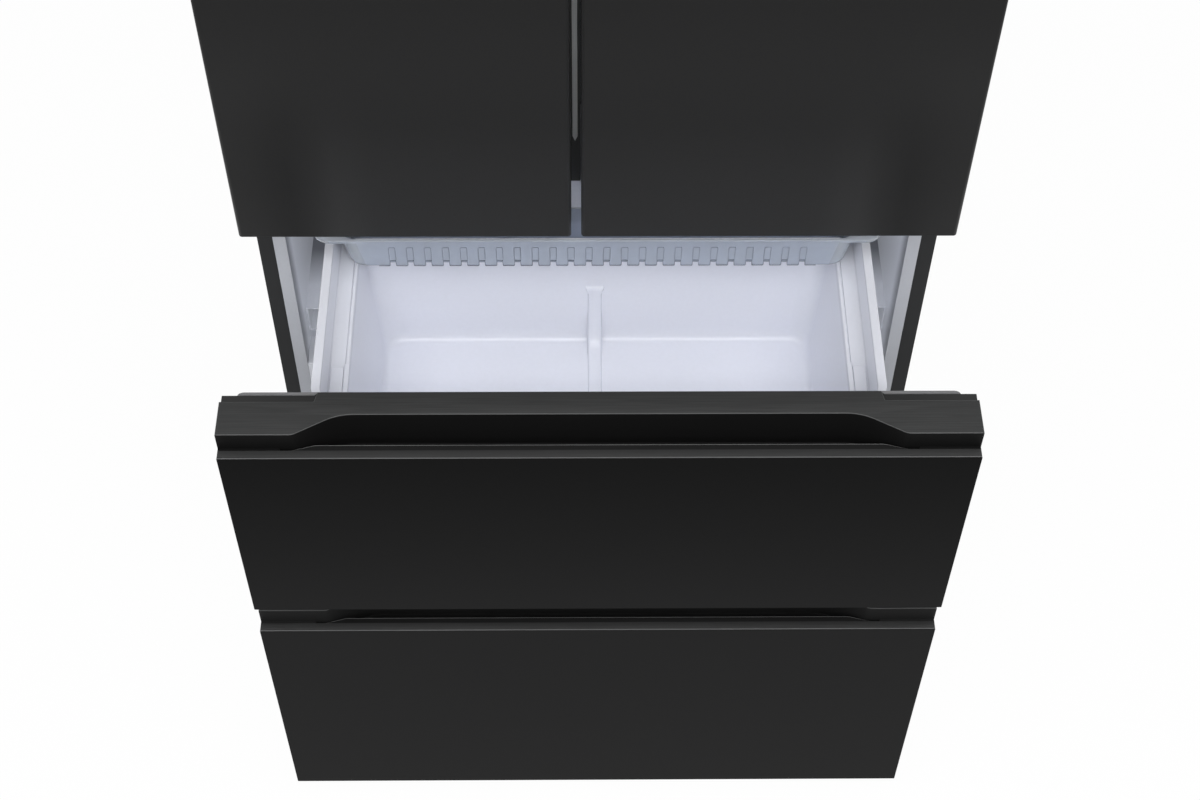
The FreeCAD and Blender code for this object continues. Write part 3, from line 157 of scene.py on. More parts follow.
@dataclass(frozen=True)
class Finish:
    """A surface finish with its own procedural marks.

    Attributes:
        name: material name.
        colour: linear base colour.
        roughness: middle roughness.
        metallic: how metallic the surface is.
        specular: specular level of the coat or plastic.
        contrast: how far the colour wanders from its middle value.
        scale: marks per metre.
        bump: height of the marks in millimetres.
        spread: how far the roughness wanders.
        grain: direction of the marks.
        along: direction in which the painted shade changes.
        stops: places along it in metres, each with its share of the base colour, which paints light and shade
            into it.
        glow: how much glow shows at the last place: painted light of the compartment's own lamp on its walls,
            and the lamp lens's own light on the lens.
        glow_at: share of the way at which that glow is reached.
        aside: distances from the middle in metres, each with a further share of the base colour, which paints
            a reflection into it.
        aside_fade: the heights between which that further share fades out.
    """

    name: str
    colour: Point
    roughness: float
    metallic: float = 0.0
    specular: float = 0.5
    contrast: float = 0.06
    scale: float = 400.0
    bump: float = 0.02
    spread: float = 0.05
    grain: Grain = Grain.EVEN
    along: Way = Way.HEIGHT
    stops: tuple[Pair, ...] = ()
    glow: float = 0.0
    glow_at: float = 1.0
    aside: tuple[Pair, ...] = ()
    aside_fade: Pair = (0.0, 1.0)

    def material(self) -> bpy.types.Material:
        """Gives the finish's material, made once.

        Returns:
            The node material of this finish.
        """
        found = bpy.data.materials.get("look_" + self.name)
        if found:
            return found
        made = bpy.data.materials.new("look_" + self.name)
        made.use_nodes = True
        tree = made.node_tree
        shader = tree.nodes["Principled BSDF"]
        shader.inputs["Metallic"].default_value = self.metallic
        shader.inputs["Specular IOR Level"].default_value = self.specular
        self.marks(tree, shader)
        if self.stops:
            self.grade(tree, shader)
            made.cycles.emission_sampling = "NONE"
        if self.aside:
            self.grade_aside(tree, shader)
        self.enrich(shader)
        made.diffuse_color = (*self.colour, 1.0)
        return made

    def marks(self, tree: Tree, shader: Node) -> None:
        """Wires the fine marks into colour, roughness and bump.

        Args:
            tree: the material's node tree.
            shader: the surface shader of that tree.
        """
        place = add_node(tree, "TexCoord").outputs["Object"]
        stretch = add_node(tree, "Mapping", Scale=self.grain.value)
        noise = add_node(tree, "TexNoise", Scale=self.scale, Detail=MARK_DETAIL)
        cloud = add_node(tree, "TexNoise", Scale=CLOUD_SCALE, Detail=CLOUD_DETAIL)
        ramp = add_node(tree, "ValToRGB")
        for end, where, sign in zip(ramp.color_ramp.elements, MARK_ENDS, (-1, 1)):
            end.position = where
            end.color = (*(c * (1.0 + sign * self.contrast) for c in self.colour), 1.0)
        rough = add_node(tree, "MapRange", From_Min=ROUGH_ENDS[0], From_Max=ROUGH_ENDS[1],
                         To_Min=max(LEAST_ROUGHNESS, self.roughness - self.spread),
                         To_Max=self.roughness + self.spread)
        bump = add_node(tree, "Bump", Strength=BUMP_STRENGTH, Distance=self.bump * MM)
        blend = add_math(tree, "MULTIPLY_ADD", cloud.outputs["Fac"], CLOUD_SHARE, noise.outputs["Fac"])
        link = tree.links.new
        link(place, stretch.inputs["Vector"])
        link(place, cloud.inputs["Vector"])
        link(stretch.outputs["Vector"], noise.inputs["Vector"])
        link(blend, ramp.inputs["Fac"])
        link(noise.outputs["Fac"], rough.inputs["Value"])
        link(noise.outputs["Fac"], bump.inputs["Height"])
        link(ramp.outputs["Color"], shader.inputs["Base Color"])
        link(rough.outputs["Result"], shader.inputs["Roughness"])
        link(bump.outputs["Normal"], shader.inputs["Normal"])

    def grade(self, tree: Tree, shader: Node) -> None:
        """Paints light and shade into the base colour along one direction, and adds the glow.

        Args:
            tree: the material's node tree.
            shader: the surface shader of that tree, with its marks.
        """
        parts = self.coordinates(tree)
        way, _ = self.shade(tree, shader, parts[self.along.value], self.stops)
        if self.glow:
            inside = add_node(tree, "MapRange", From_Max=self.glow_at, To_Max=self.glow)
            shader.inputs["Emission Color"].default_value = LAMP_TINT
            tree.links.new(way.outputs["Result"], inside.inputs["Value"])
            tree.links.new(inside.outputs["Result"], shader.inputs["Emission Strength"])

    def grade_aside(self, tree: Tree, shader: Node) -> None:
        """Paints a reflection into the base colour away from the object's middle, fading out upwards.

        Args:
            tree: the material's node tree.
            shader: the surface shader of that tree, with its marks.
        """
        parts = self.coordinates(tree)
        low, high = self.aside_fade
        fade = add_node(tree, "MapRange", From_Min=high, From_Max=low)
        fade.interpolation_type = "SMOOTHSTEP"
        _, blend = self.shade(tree, shader, add_math(tree, "ABSOLUTE", parts["X"]), self.aside)
        tree.links.new(parts["Z"], fade.inputs["Value"])
        tree.links.new(fade.outputs["Result"], blend.inputs["Factor"])

    @staticmethod
    def coordinates(tree: Tree) -> bpy.types.NodeOutputs:
        """Gives the coordinates of a place on the piece, in metres.

        Args:
            tree: the material's node tree.

        Returns:
            Sockets X, Y and Z.
        """
        parts = add_node(tree, "SeparateXYZ")
        tree.links.new(add_node(tree, "TexCoord").outputs["Object"], parts.inputs["Vector"])
        return parts.outputs

    @staticmethod
    def shade(tree: Tree, shader: Node, source: Socket, stops: Sequence[Pair]) -> tuple[Node, Node]:
        """Multiplies shares into the base colour, which paints light and shade into it.

        Args:
            tree: the material's node tree.
            shader: the surface shader of that tree, with its marks.
            source: socket with a place in metres.
            stops: places, each with its share.

        Returns:
            The node that gives the way from the first place to the last, and the node that multiplies.
        """
        (first, first_share), *between, (last, last_share) = stops
        way = add_node(tree, "MapRange", From_Min=first, From_Max=last)
        ramp = add_node(tree, "ValToRGB")
        ends = ramp.color_ramp.elements
        ends[0].color = (first_share, first_share, first_share, 1.0)
        ends[1].color = (last_share, last_share, last_share, 1.0)
        for where, share in between:
            ends.new((where - first) / (last - first)).color = (share, share, share, 1.0)
        blend = add_node(tree, "Mix")
        blend.data_type = "RGBA"
        blend.blend_type = "MULTIPLY"
        blend.inputs["Factor"].default_value = 1.0
        base, factor = (socket for socket in blend.inputs if socket.type == "RGBA")
        mixed = next(socket for socket in blend.outputs if socket.type == "RGBA")
        link = tree.links.new
        link(source, way.inputs["Value"])
        link(way.outputs["Result"], ramp.inputs["Fac"])
        link(shader.inputs["Base Color"].links[0].from_socket, base)
        link(ramp.outputs["Color"], factor)
        link(mixed, shader.inputs["Base Color"])
        return way, blend

    def enrich(self, shader: Node) -> None:
        """Leaves the shader as it is; special finishes add to it."""


@dataclass(frozen=True)
class ClearFinish(Finish):
    """Clear moulded plastic or glass.

    Attributes:
        clarity: share of light that passes.
        index: refractive index.
    """

    clarity: float = 0.9
    index: float = 1.49

    def enrich(self, shader: Node) -> None:
        """Lets light through the shader."""
        shader.inputs["Transmission Weight"].default_value = self.clarity
        shader.inputs["IOR"].default_value = self.index


@dataclass(frozen=True)
class SoftFinish(Finish):
    """White moulded plastic that light enters a little.

    Attributes:
        depth: share of light that scatters below the surface.
    """

    depth: float = 0.08

    def enrich(self, shader: Node) -> None:
        """Adds shallow scattering to the shader."""
        shader.inputs["Subsurface Weight"].default_value = self.depth
        shader.inputs["Subsurface Radius"].default_value = SCATTER_RADIUS


# Painted and brushed steel of the doors, the drawer fronts and the cabinet.
# Painted reflection on the door panels: lighter towards their feet, with darker and lighter bands near their
# outer edges that fade out upwards.
PANEL = Finish("door_panel", (0.0310, 0.0310, 0.0312), 0.30, specular=0.05, contrast=0.05, scale=900.0,
               bump=0.004, spread=0.03,
               stops=((0.82, 1.0), (0.90, 0.84), (0.98, 0.66), (1.04, 0.60), (1.14, 0.47)),
               aside=((0.245, 1.0), (0.262, 1.06), (0.284, 1.06), (0.303, 0.88), (0.332, 0.66),
                      (0.350, 0.66), (0.398, 0.76)),
               aside_fade=(0.88, 1.06))
# Painted reflection on the drawer panels: the upper panel darker towards its top.
DRAWER_PANEL = replace(PANEL, name="drawer_panel", colour=(0.0115, 0.0115, 0.0116), roughness=0.34,
                       specular=0.022, stops=((0.48, 0.86), (0.63, 0.56), (0.775, 0.30)), aside=())
CAP = Finish("brushed_cap", (0.0375, 0.038, 0.038), 0.46, specular=0.05, contrast=0.26, scale=1500.0,
             bump=0.010, spread=0.08, grain=Grain.ALONG_X)
LIP = Finish("brushed_lip", (0.0305, 0.0307, 0.0307), 0.46, specular=0.12, contrast=0.18, scale=1500.0,
             bump=0.008, spread=0.08, grain=Grain.ALONG_X)
# Lighter finishes for rounded edges: painted highlights along the cap's top edge, the pocket ledge's edge and
# the lip's front edge.
EDGE = Finish("cap_edge_painted_highlight", (0.070, 0.071, 0.071), 0.42, specular=0.15, contrast=0.15, scale=900.0,
              bump=0.004, grain=Grain.ALONG_X)
LEDGE_EDGE = replace(EDGE, name="ledge_painted_highlight", colour=(0.30, 0.30, 0.30))
LIP_EDGE_HIGHLIGHT = Finish("lip_edge_painted_highlight", (0.105, 0.106, 0.107), 0.40, specular=0.2, contrast=0.12,
                   scale=900.0, bump=0.004, grain=Grain.ALONG_X)
SHELL = Finish("shell_paint", (0.020, 0.0205, 0.0212), 0.45, specular=0.12, scale=1200.0, bump=0.006)

# Dark plastic and rubber, and the painted shade of the handle pockets.
# The pockets' walls and floors are the cap's steel in painted shade: a dark copy of it, darker towards the
# top, so the upper drawer's pocket is darker than the lower one's.
POCKET_SHADE = Finish("pocket_painted_shade", (0.0140, 0.0140, 0.0140), 0.5, specular=0.04, contrast=0.1, scale=1500.0,
                bump=0.008, grain=Grain.ALONG_X, stops=((0.48, 1.0), (0.70, 0.40)))
POCKET_FLOOR = replace(POCKET_SHADE, name="pocket_floor", colour=(0.0135, 0.0135, 0.0135), stops=())
END_CAP = Finish("black_end_cap", (0.010, 0.010, 0.010), 0.5, specular=0.35, scale=1800.0, bump=0.02)
BLACK = Finish("black_plastic", (0.014, 0.014, 0.014), 0.55, scale=1800.0, bump=0.03)
RUBBER = Finish("bar_lip_rubber", (0.085, 0.085, 0.085), 0.6, specular=0.2, scale=900.0, bump=0.02)
SEAL = Finish("seal_rubber", (0.17, 0.17, 0.175), 0.62, specular=0.3, scale=900.0, bump=0.03)
TREAD = Finish("foot_rubber", (0.020, 0.020, 0.020), 0.75, scale=900.0, bump=0.06)

# Pale plastic inside: a painted glow stands in for the light of the compartments' own lamps, and painted
# shade lies along the freezer's walls, slides and rail and in the bins; the lamp's lens glows as a lamp.
LINER = SoftFinish("liner_white", (0.72, 0.735, 0.775), 0.34, scale=250.0, bump=0.004, contrast=0.03,
                   spread=0.01)
# Painted light: the fresh-food liner and duct glow in place of the ceiling lamp's light, more strongly
# towards the top, and their colour is a little lighter towards the top.
FRESH = replace(LINER, name="fresh_food_white", stops=((0.75, 0.90), (1.70, 1.0)), glow=0.26, glow_at=1.4)
# Painted shade and light on the freezer liner: a dark line at its front corner, darker deeper in, and a glow
# in place of lamp light behind its front edge.
FREEZER = SoftFinish("freezer_white", (0.71, 0.73, 0.785), 0.34, scale=250.0, bump=0.004, contrast=0.02,
                     spread=0.006, along=Way.DEPTH, glow=0.12, glow_at=0.24,
                     stops=((-0.1450, 0.62), (-0.1444, 0.61), (-0.1440, 0.43), (-0.133, 0.48),
                            (-0.114, 1.0), (-0.060, 0.82), (0.0, 0.70)))
# Painted shade and light on the slides and the rail: darker towards the back, with a glow in place of lamp
# light.
COATED = replace(FREEZER, name="slide_coat_painted_light", stops=((0.0, 0.36), (-0.03, 0.66), (-0.06, 0.95)),
                 glow=0.11, glow_at=1.0)
RAIL = replace(COATED, name="rail_white_painted_light", colour=(0.56, 0.57, 0.61), stops=((0.05, 0.5), (-0.06, 1.0)),
               glow=0.10)
DIVIDER = Finish("divider_face", (0.86, 0.88, 0.95), 0.32, scale=300.0, bump=0.01, contrast=0.04)
TRIM = Finish("divider_grey", (0.42, 0.44, 0.49), 0.32, scale=300.0, bump=0.01, contrast=0.04)
# Painted shade in the bins: darker bands along the ledge with its groove and bead, and near the rim's top.
BIN = SoftFinish("upper_bin_white", (0.80, 0.815, 0.885), 0.26, scale=220.0, bump=0.002, contrast=0.012,
                 spread=0.002, depth=0.0,
                 stops=((0.520, 1.0), (0.7090, 1.0), (0.7115, 0.83), (0.7185, 0.83), (0.7210, 1.0),
                        (0.7585, 1.0), (0.7600, 0.78), (0.7640, 0.78)))
LOWER_BIN = replace(BIN, name="lower_bin_white",
                    stops=tuple((level - DRAWER_PITCH, share) for level, share in BIN.stops))
LENS = SoftFinish("lamp_lens", (0.80, 0.81, 0.83), 0.3, scale=200.0, depth=0.3,
                  stops=((1.0, 0.95), (1.70, 1.0)), glow=0.9)

# Clear plastic and glass, and the moulded lines on the tray.
TRAY = ClearFinish("tray_clear", (0.74, 0.80, 0.90), 0.20, scale=120.0, bump=0.004, contrast=0.02,
                   spread=0.02, clarity=0.55)
# Painted light on the tray: its flange's top and its rounded ends are lighter copies of the clear finish.
FLANGE = replace(TRAY, name="tray_flange", colour=(0.84, 0.885, 0.96), clarity=0.35)
TRAY_END = replace(TRAY, name="tray_end_painted_light", colour=(0.85, 0.90, 0.95), roughness=0.16, clarity=0.66)
# Painted light on the tray's moulded lines: dark lines round the notches and windows and under the flange
# stand for their shade and dark refraction, and the flange's whitish inner edge is a painted highlight.
COMB = Finish("comb_edge", (0.16, 0.175, 0.21), 0.35, scale=300.0, bump=0.004)
WINDOW = Finish("window_edge", (0.20, 0.22, 0.255), 0.35, scale=300.0, bump=0.004)
CREST = SoftFinish("tray_crest", (0.76, 0.7695, 0.7885), 0.3, scale=200.0, depth=0.3)
CLEAR = ClearFinish("door_bin_clear", (0.90, 0.93, 0.95), 0.09, scale=120.0, bump=0.004, contrast=0.02,
                    spread=0.02)
GLASS = ClearFinish("shelf_glass", (0.80, 0.90, 0.87), 0.03, scale=60.0, bump=0.001, contrast=0.02,
                    spread=0.01, clarity=0.95, index=1.52)

# Metal of the strip, the slides and the machine space, and the foam in the walls.
STRIP = Finish("bar_strip", (0.80, 0.80, 0.805), 0.45, scale=700.0, grain=Grain.ALONG_Z, bump=0.003)
ZINC = Finish("zinc_sheet", (0.42, 0.43, 0.44), 0.38, metallic=0.9, contrast=0.18, scale=60.0, bump=0.01)
SLIDE = Finish("slide_steel", (0.60, 0.61, 0.63), 0.30, metallic=0.85, contrast=0.08, scale=900.0,
               bump=0.006, grain=Grain.ALONG_Y)
FINS = Finish("fin_alloy", (0.62, 0.63, 0.64), 0.34, metallic=0.95, contrast=0.1, scale=300.0,
              grain=Grain.ALONG_Z)
POT = Finish("compressor_paint", (0.012, 0.012, 0.012), 0.4, scale=300.0, bump=0.05)
FOAM = Finish("wall_foam", (0.62, 0.52, 0.30), 0.9, specular=0.1, contrast=0.2, scale=260.0, bump=0.3)

SOLIDS_IN: tuple[tuple[Finish, str], ...] = (
    (PANEL, "left_door_skin right_door_skin"),
    (DRAWER_PANEL, "upper_front_panel lower_front_panel"),
    (CAP, "upper_handle_cap lower_handle_cap"),
    (SHELL, "cabinet_shell"),
    (END_CAP, "left_door_caps right_door_caps"),
    (BLACK, "flip_bar hinge_covers toe_grille condenser_fan"),
    (STRIP, "flip_bar_strip"),
    (SEAL, "left_door_gasket right_door_gasket upper_front_gasket lower_front_gasket"),
    (FRESH, "fridge_liner air_duct"),
    (FREEZER, "freezer_liner"),
    (LINER, "left_door_liner right_door_liner upper_front_liner lower_front_liner evaporator_cover"),
    (RAIL, "drawer_rail"),
    (DIVIDER, "divider_trim"),
    (TRIM, "shelf_trims"),
    (BIN, "upper_bin"),
    (LOWER_BIN, "lower_bin"),
    (TRAY, "upper_tray"),
    (CLEAR, "left_door_bins right_door_bins left_crisper right_crisper"),
    (GLASS, "glass_shelves"),
    (ZINC, "back_panel base_plate machine_cover door_hinges roller_forks fan_bracket flip_bar_brackets"),
    (COATED, "cabinet_slides upper_drawer_slides lower_drawer_slides"),
    (SLIDE, "upper_middle_slides lower_middle_slides"),
    (FOAM, "foam_core left_door_foam right_door_foam upper_front_foam lower_front_foam"),
    (FINS, "evaporator condenser"),
    (POT, "compressor"),
    (LENS, "ceiling_light"),
    (TREAD, "levelling_feet rear_rollers"),
)

EDGES_OF: tuple[tuple[float, str], ...] = (
    (0.5, "cabinet_shell"),
    (0.6, "door_hinges"),
    (0.8, "divider_trim glass_shelves cabinet_slides upper_middle_slides lower_middle_slides "
          "upper_drawer_slides lower_drawer_slides"),
    (0.9, "upper_front_panel lower_front_panel"),
    (1.0, "left_door_skin right_door_skin left_door_bins right_door_bins flip_bar compressor levelling_feet"),
    (1.2, "left_crisper right_crisper air_duct"),
    (1.5, "drawer_rail shelf_trims ceiling_light"),
    (2.0, "hinge_covers"),
    (3.0, "left_door_liner right_door_liner"),
)


def millimetres(values: Iterable[float]) -> tuple[float, ...]:
    """Turns millimetres into metres."""
    return tuple(v * MM for v in values)


def rounded_ring(section: Section, steps: int = 8) -> list[Point]:
    """Lays out a rectangle with rounded corners at one level.

    Args:
        section: half width, front, back, corner radius and height.
        steps: points in each corner after its first.

    Returns:
        Points of the ring, going round once.
    """
    half, front, back, radius, level = section
    radius = min(radius, CORNER_SHARE * half, CORNER_SHARE * (back - front) / 2)
    centres = (
        (half - radius, front + radius, -math.pi / 2),
        (half - radius, back - radius, 0.0),
        (-half + radius, back - radius, math.pi / 2),
        (-half + radius, front + radius, math.pi),
    )
    ring = []
    for x, y, start in centres:
        for step in range(steps + 1):
            angle = start + math.pi / 2 * step / steps
            ring.append((x + radius * math.cos(angle), y + radius * math.sin(angle), level))
    return ring


def soften(turns: Sequence[Turn], steps: int = 5) -> list[Section]:
    """Rounds the turns between successive sections.

    Args:
        turns: sections from one end of the surface to the other, each with how far its turn is rounded.
        steps: pieces in each rounded turn.

    Returns:
        The longer list of sections.
    """
    smooth = [turns[0][0]]
    for (before, _), (here, reach), (after, _) in zip(turns, turns[1:], turns[2:]):
        at = Vector(here)
        back = Vector(before) - at
        ahead = Vector(after) - at
        span = min(reach, back.length * TURN_SHARE, ahead.length * TURN_SHARE)
        first = at + back.normalized() * span
        last = at + ahead.normalized() * span
        for step in range(steps + 1):
            t = step / steps
            smooth.append(tuple(first * (1 - t) ** 2 + at * (2 * t * (1 - t)) + last * t * t))
    smooth.append(turns[-1][0])
    return smooth


def rounded_path(corners: Sequence[Point], steps: int = 14) -> list[Pair]:
    """Rounds the corners of an open path.

    Args:
        corners: x, y and rounding radius of each corner; the two ends have radius 0.
        steps: pieces in each rounded corner.

    Returns:
        Points along the path.
    """
    path = [corners[0][:2]]
    for before, here, after in zip(corners, corners[1:], corners[2:]):
        at = Vector(here[:2])
        back = (Vector(before[:2]) - at).normalized()
        ahead = (Vector(after[:2]) - at).normalized()
        turn = math.pi - back.angle(ahead)
        reach = here[2] * math.tan(turn / 2)
        if reach < TINY:
            path.append(here[:2])
            continue
        middle = at + (back + ahead).normalized() * (here[2] / math.cos(turn / 2))
        first = at + back * reach - middle
        last = at + ahead * reach - middle
        for step in range(steps + 1):
            path.append(tuple(middle + here[2] * first.slerp(last, step / steps)))
    path.append(corners[-1][:2])
    return path


def build(name: str, points: Sequence[Point], faces: Sequence[Sequence[int]], sharp: float = 35.0) -> Piece:
    """Makes a mesh object with smooth shading up to an angle.

    Args:
        name: object name.
        points: vertices.
        faces: vertex numbers of each face.
        sharp: angle in degrees above which an edge stays sharp.

    Returns:
        The new object.
    """
    mesh = bpy.data.meshes.new(name)
    mesh.from_pydata([tuple(p) for p in points], [], [tuple(f) for f in faces])
    mesh.validate()
    mesh.update()
    mesh.shade_smooth()
    mesh.set_sharp_from_angle(angle=math.radians(sharp))
    made = bpy.data.objects.new(name, mesh)
    bpy.context.scene.collection.objects.link(made)
    return made


def loft(name: str, rings: Sequence[Sequence[Point]], closed: bool = False, sharp: float = 35.0) -> Piece:
    """Skins a row of rings.

    Args:
        name: object name.
        rings: rings with the same number of points.
        closed: whether the last ring joins the first one; otherwise both ends are capped.
        sharp: angle above which an edge stays sharp.

    Returns:
        The new object.
    """
    size = len(rings[0])
    points = [p for ring in rings for p in ring]
    faces = []
    pairs = len(rings) if closed else len(rings) - 1
    for row in range(pairs):
        a, b = row * size, (row + 1) % len(rings) * size
        for step in range(size):
            after = (step + 1) % size
            faces.append((a + step, a + after, b + after, b + step))
    if not closed:
        faces.append(tuple(reversed(range(size))))
        faces.append(tuple(range((len(rings) - 1) * size, len(rings) * size)))
    return build(name, points, faces, sharp)


def moulded(name: str, turns: Sequence[Turn]) -> Piece:
    """Skins rounded rectangles into a moulding with rounded turns.

    Args:
        name: object name.
        turns: sections in millimetres from one end of the skin to the other, each with its rounding.

    Returns:
        The moulding.
    """
    smooth = soften([(millimetres(section), reach * MM) for section, reach in turns])
    return loft(name, [rounded_ring(section) for section in smooth], sharp=50.0)


def boxes(name: str, spans: Sequence[Span]) -> Piece:
    """Makes slabs as one piece.

    Args:
        name: object name.
        spans: for each slab its extent along x, y and z in millimetres.

    Returns:
        The new object.
    """
    points: list[Point] = []
    faces: list[Sequence[int]] = []
    for x, y, z in spans:
        first = len(points)
        for level in z:
            points += [millimetres((x[i], y[j], level)) for i, j in ((0, 0), (1, 0), (1, 1), (0, 1))]
        faces += [tuple(first + corner for corner in face) for face in BOX_FACES]
    return build(name, points, faces)


def ease_edges(piece: Piece, width: float) -> None:
    """Rounds a piece's edges a little.

    Args:
        piece: the piece or carried solid.
        width: rounding in millimetres.
    """
    weld = piece.modifiers.new("join", "WELD")
    weld.merge_threshold = TINY
    bevel = piece.modifiers.new("ease", "BEVEL")
    bevel.width = width * MM
    bevel.segments = EASE_SEGMENTS
    bevel.limit_method = "ANGLE"
    bevel.angle_limit = math.radians(EASE_ANGLE)
    bevel.use_clamp_overlap = True
    bevel.harden_normals = False


def tint_rows(piece: Piece, size: int, finishes: Sequence[Finish]) -> None:
    """Gives rows of faces of a lofted piece finishes of their own.

    Args:
        piece: the lofted piece, already dressed.
        size: faces in a row.
        finishes: finish of each row from the first on; the other faces keep the piece's own.
    """
    materials = piece.data.materials
    for row, finish in enumerate(finishes):
        name = finish.material().name
        if materials.find(name) < 0:
            materials.append(finish.material())
        for number in range(row * size, (row + 1) * size):
            piece.data.polygons[number].material_index = materials.find(name)


def mount(piece: Piece, finish: Finish, body: str, stands_for: str = "") -> Piece:
    """Dresses a piece and puts it on the body that carries it.

    Args:
        piece: the piece.
        finish: its finish.
        body: body that carries it.
        stands_for: solid that it stands for, if any.

    Returns:
        The same piece.
    """
    piece.data.materials.clear()
    piece.data.materials.append(finish.material())
    if stands_for:
        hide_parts(stands_for)
    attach(piece, body)
    return piece


@dataclass(frozen=True)
class SoftBox:
    """A soft studio lamp.

    Attributes:
        name: lamp name.
        place: its position.
        aim: point that it faces.
        size: width and height.
        power: power in watts.
    """

    name: str
    place: Point
    aim: Point
    size: Pair
    power: float

    def build(self) -> None:
        """Adds the lamp."""
        data = bpy.data.lights.new(self.name, "AREA")
        data.shape = "RECTANGLE"
        data.size, data.size_y = self.size
        data.energy = self.power
        lamp = bpy.data.objects.new(self.name, data)
        lamp.location = self.place
        lamp.rotation_euler = (Vector(self.aim) - Vector(self.place)).to_track_quat("-Z", "Y").to_euler()
        bpy.context.scene.collection.objects.link(lamp)


@dataclass
class Studio:
    """Camera, lamps, world and floor around the object.

    Attributes:
        place: camera position.
        pitch: degrees that the camera looks down.
        yaw: degrees that it turns to the right.
        roll: degrees that it tilts.
        lens: focal length for the sensor's width.
        sensor: width of the sensor.
        near_clip: nearest distance that is drawn.
        ambient: strength of the even light from all round.
        floor_reach: half the floor's side.
        floor_level: height of the floor, just under the feet.
        floor_tone: grey of the floor.
        floor_white: how far the floor shows as plain white.
        lamps: soft boxes.
    """

    place: Point = (-0.020865, -1.696115, 2.456013)
    pitch: float = 52.876
    yaw: float = 0.958
    roll: float = 0.616
    lens: float = 59.594
    sensor: float = 36.0
    near_clip: float = 0.05
    ambient: float = 0.48
    floor_reach: float = 14.0
    floor_level: float = -0.0006
    floor_tone: float = 0.82
    floor_white: float = 0.97
    lamps: tuple[SoftBox, ...] = (
        SoftBox("key_overhead", (0.0, -1.5, 3.6), (0.0, -0.2, 0.6), (3.2, 2.0), 64.0),
        SoftBox("fill_left", (-2.8, -1.6, 1.9), (0.0, -0.2, 0.8), (1.6, 2.2), 12.0),
        SoftBox("fill_right", (2.8, -1.6, 1.9), (0.0, -0.2, 0.8), (1.6, 2.2), 12.0),
        SoftBox("fill_front", (0.0, -2.3, 2.5), (0.0, -0.2, 0.9), (1.6, 0.9), 26.0),
    )

    def build(self) -> None:
        """Sets up everything around the object."""
        self.camera()
        self.world()
        self.floor()
        for lamp in self.lamps:
            lamp.build()
        bpy.context.scene.view_settings.view_transform = "Standard"

    def camera(self) -> None:
        """Places the camera where the photograph was taken from."""
        pitch, yaw, roll = (math.radians(a) for a in (self.pitch, self.yaw, self.roll))
        level = math.cos(pitch)
        ahead = Vector((math.sin(yaw) * level, math.cos(yaw) * level, -math.sin(pitch)))
        side = Vector((math.cos(yaw), -math.sin(yaw), 0.0))
        over = side.cross(ahead)
        right = side * math.cos(roll) + over * math.sin(roll)
        up = over * math.cos(roll) - side * math.sin(roll)
        turn = Matrix((right, up, -ahead)).transposed().to_4x4()
        data = bpy.data.cameras.new("camera")
        data.sensor_fit = "HORIZONTAL"
        data.sensor_width = self.sensor
        data.lens = self.lens
        data.clip_start = self.near_clip
        camera = bpy.data.objects.new("camera", data)
        camera.matrix_world = Matrix.Translation(self.place) @ turn
        bpy.context.scene.collection.objects.link(camera)
        bpy.context.scene.camera = camera

    @staticmethod
    def seen_directly(tree: Tree) -> Socket:
        """Tells rays that see the background itself from rays that carry light.

        Args:
            tree: node tree to add to.

        Returns:
            A socket that is 1 for camera, glossy and transmission rays.
        """
        path = add_node(tree, "LightPath").outputs
        pair = add_math(tree, "MAXIMUM", path["Is Camera Ray"], path["Is Transmission Ray"])
        return add_math(tree, "MAXIMUM", pair, path["Is Glossy Ray"])

    @staticmethod
    def show(tree: Tree, share: Socket, light: Socket, shown: Socket, output: str) -> None:
        """Ends a tree with one shader for light and another one for what is seen.

        Args:
            tree: node tree to add to.
            share: how much of the seen shader a ray gets.
            light: shader that lights the object.
            shown: shader that is seen.
            output: kind of the output node.
        """
        mix = add_node(tree, "MixShader")
        tree.links.new(share, mix.inputs["Fac"])
        tree.links.new(light, mix.inputs[1])
        tree.links.new(shown, mix.inputs[2])
        tree.links.new(mix.outputs["Shader"], add_node(tree, output).inputs["Surface"])

    def world(self) -> None:
        """White behind the object, and an even soft light from all round."""
        world = bpy.data.worlds.new("studio")
        world.use_nodes = True
        tree = world.node_tree
        tree.nodes.clear()
        shown = add_node(tree, "Background", Color=(1.0, 1.0, 1.0, 1.0), Strength=1.0)
        light = add_node(tree, "Background", Color=(0.98, 0.99, 1.0, 1.0), Strength=self.ambient)
        self.show(tree, self.seen_directly(tree), light.outputs["Background"], shown.outputs["Background"],
                  "OutputWorld")
        bpy.context.scene.world = world

    def floor(self) -> None:
        """Pale floor that shows white and keeps a faint shadow."""
        reach, level, tone = self.floor_reach, self.floor_level, self.floor_tone
        corners = [(x * reach, y * reach, level) for x, y in ((-1, -1), (1, -1), (1, 1), (-1, 1))]
        floor = build("floor", corners, [(0, 1, 2, 3)])
        made = bpy.data.materials.new("pale_floor")
        made.use_nodes = True
        tree = made.node_tree
        tree.nodes.clear()
        matt = add_node(tree, "BsdfDiffuse", Color=(tone, tone, tone, 1.0))
        white = add_node(tree, "Emission", Color=(1.0, 1.0, 1.0, 1.0), Strength=1.0)
        share = add_math(tree, "MULTIPLY", self.seen_directly(tree), self.floor_white)
        self.show(tree, share, matt.outputs["BSDF"], white.outputs["Emission"], "OutputMaterial")
        floor.data.materials.append(made)


@dataclass
class SubAssembly:
    """Pieces that are placed by one solid and ride on one body.

    Attributes:
        node: the solid.
        body: the body that carries them.
        low: lowest corner of the solid in millimetres.
        high: highest corner of the solid in millimetres.
    """

    node: str
    body: str
    low: Point = field(init=False)
    high: Point = field(init=False)

    def __post_init__(self) -> None:
        """Reads the solid's corners."""
        self.low, self.high = (tuple(c / MM for c in corner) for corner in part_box(self.node))

    def build(self) -> list[Piece]:
        """Builds, dresses and mounts the pieces.

        Returns:
            The pieces.
        """
        raise NotImplementedError


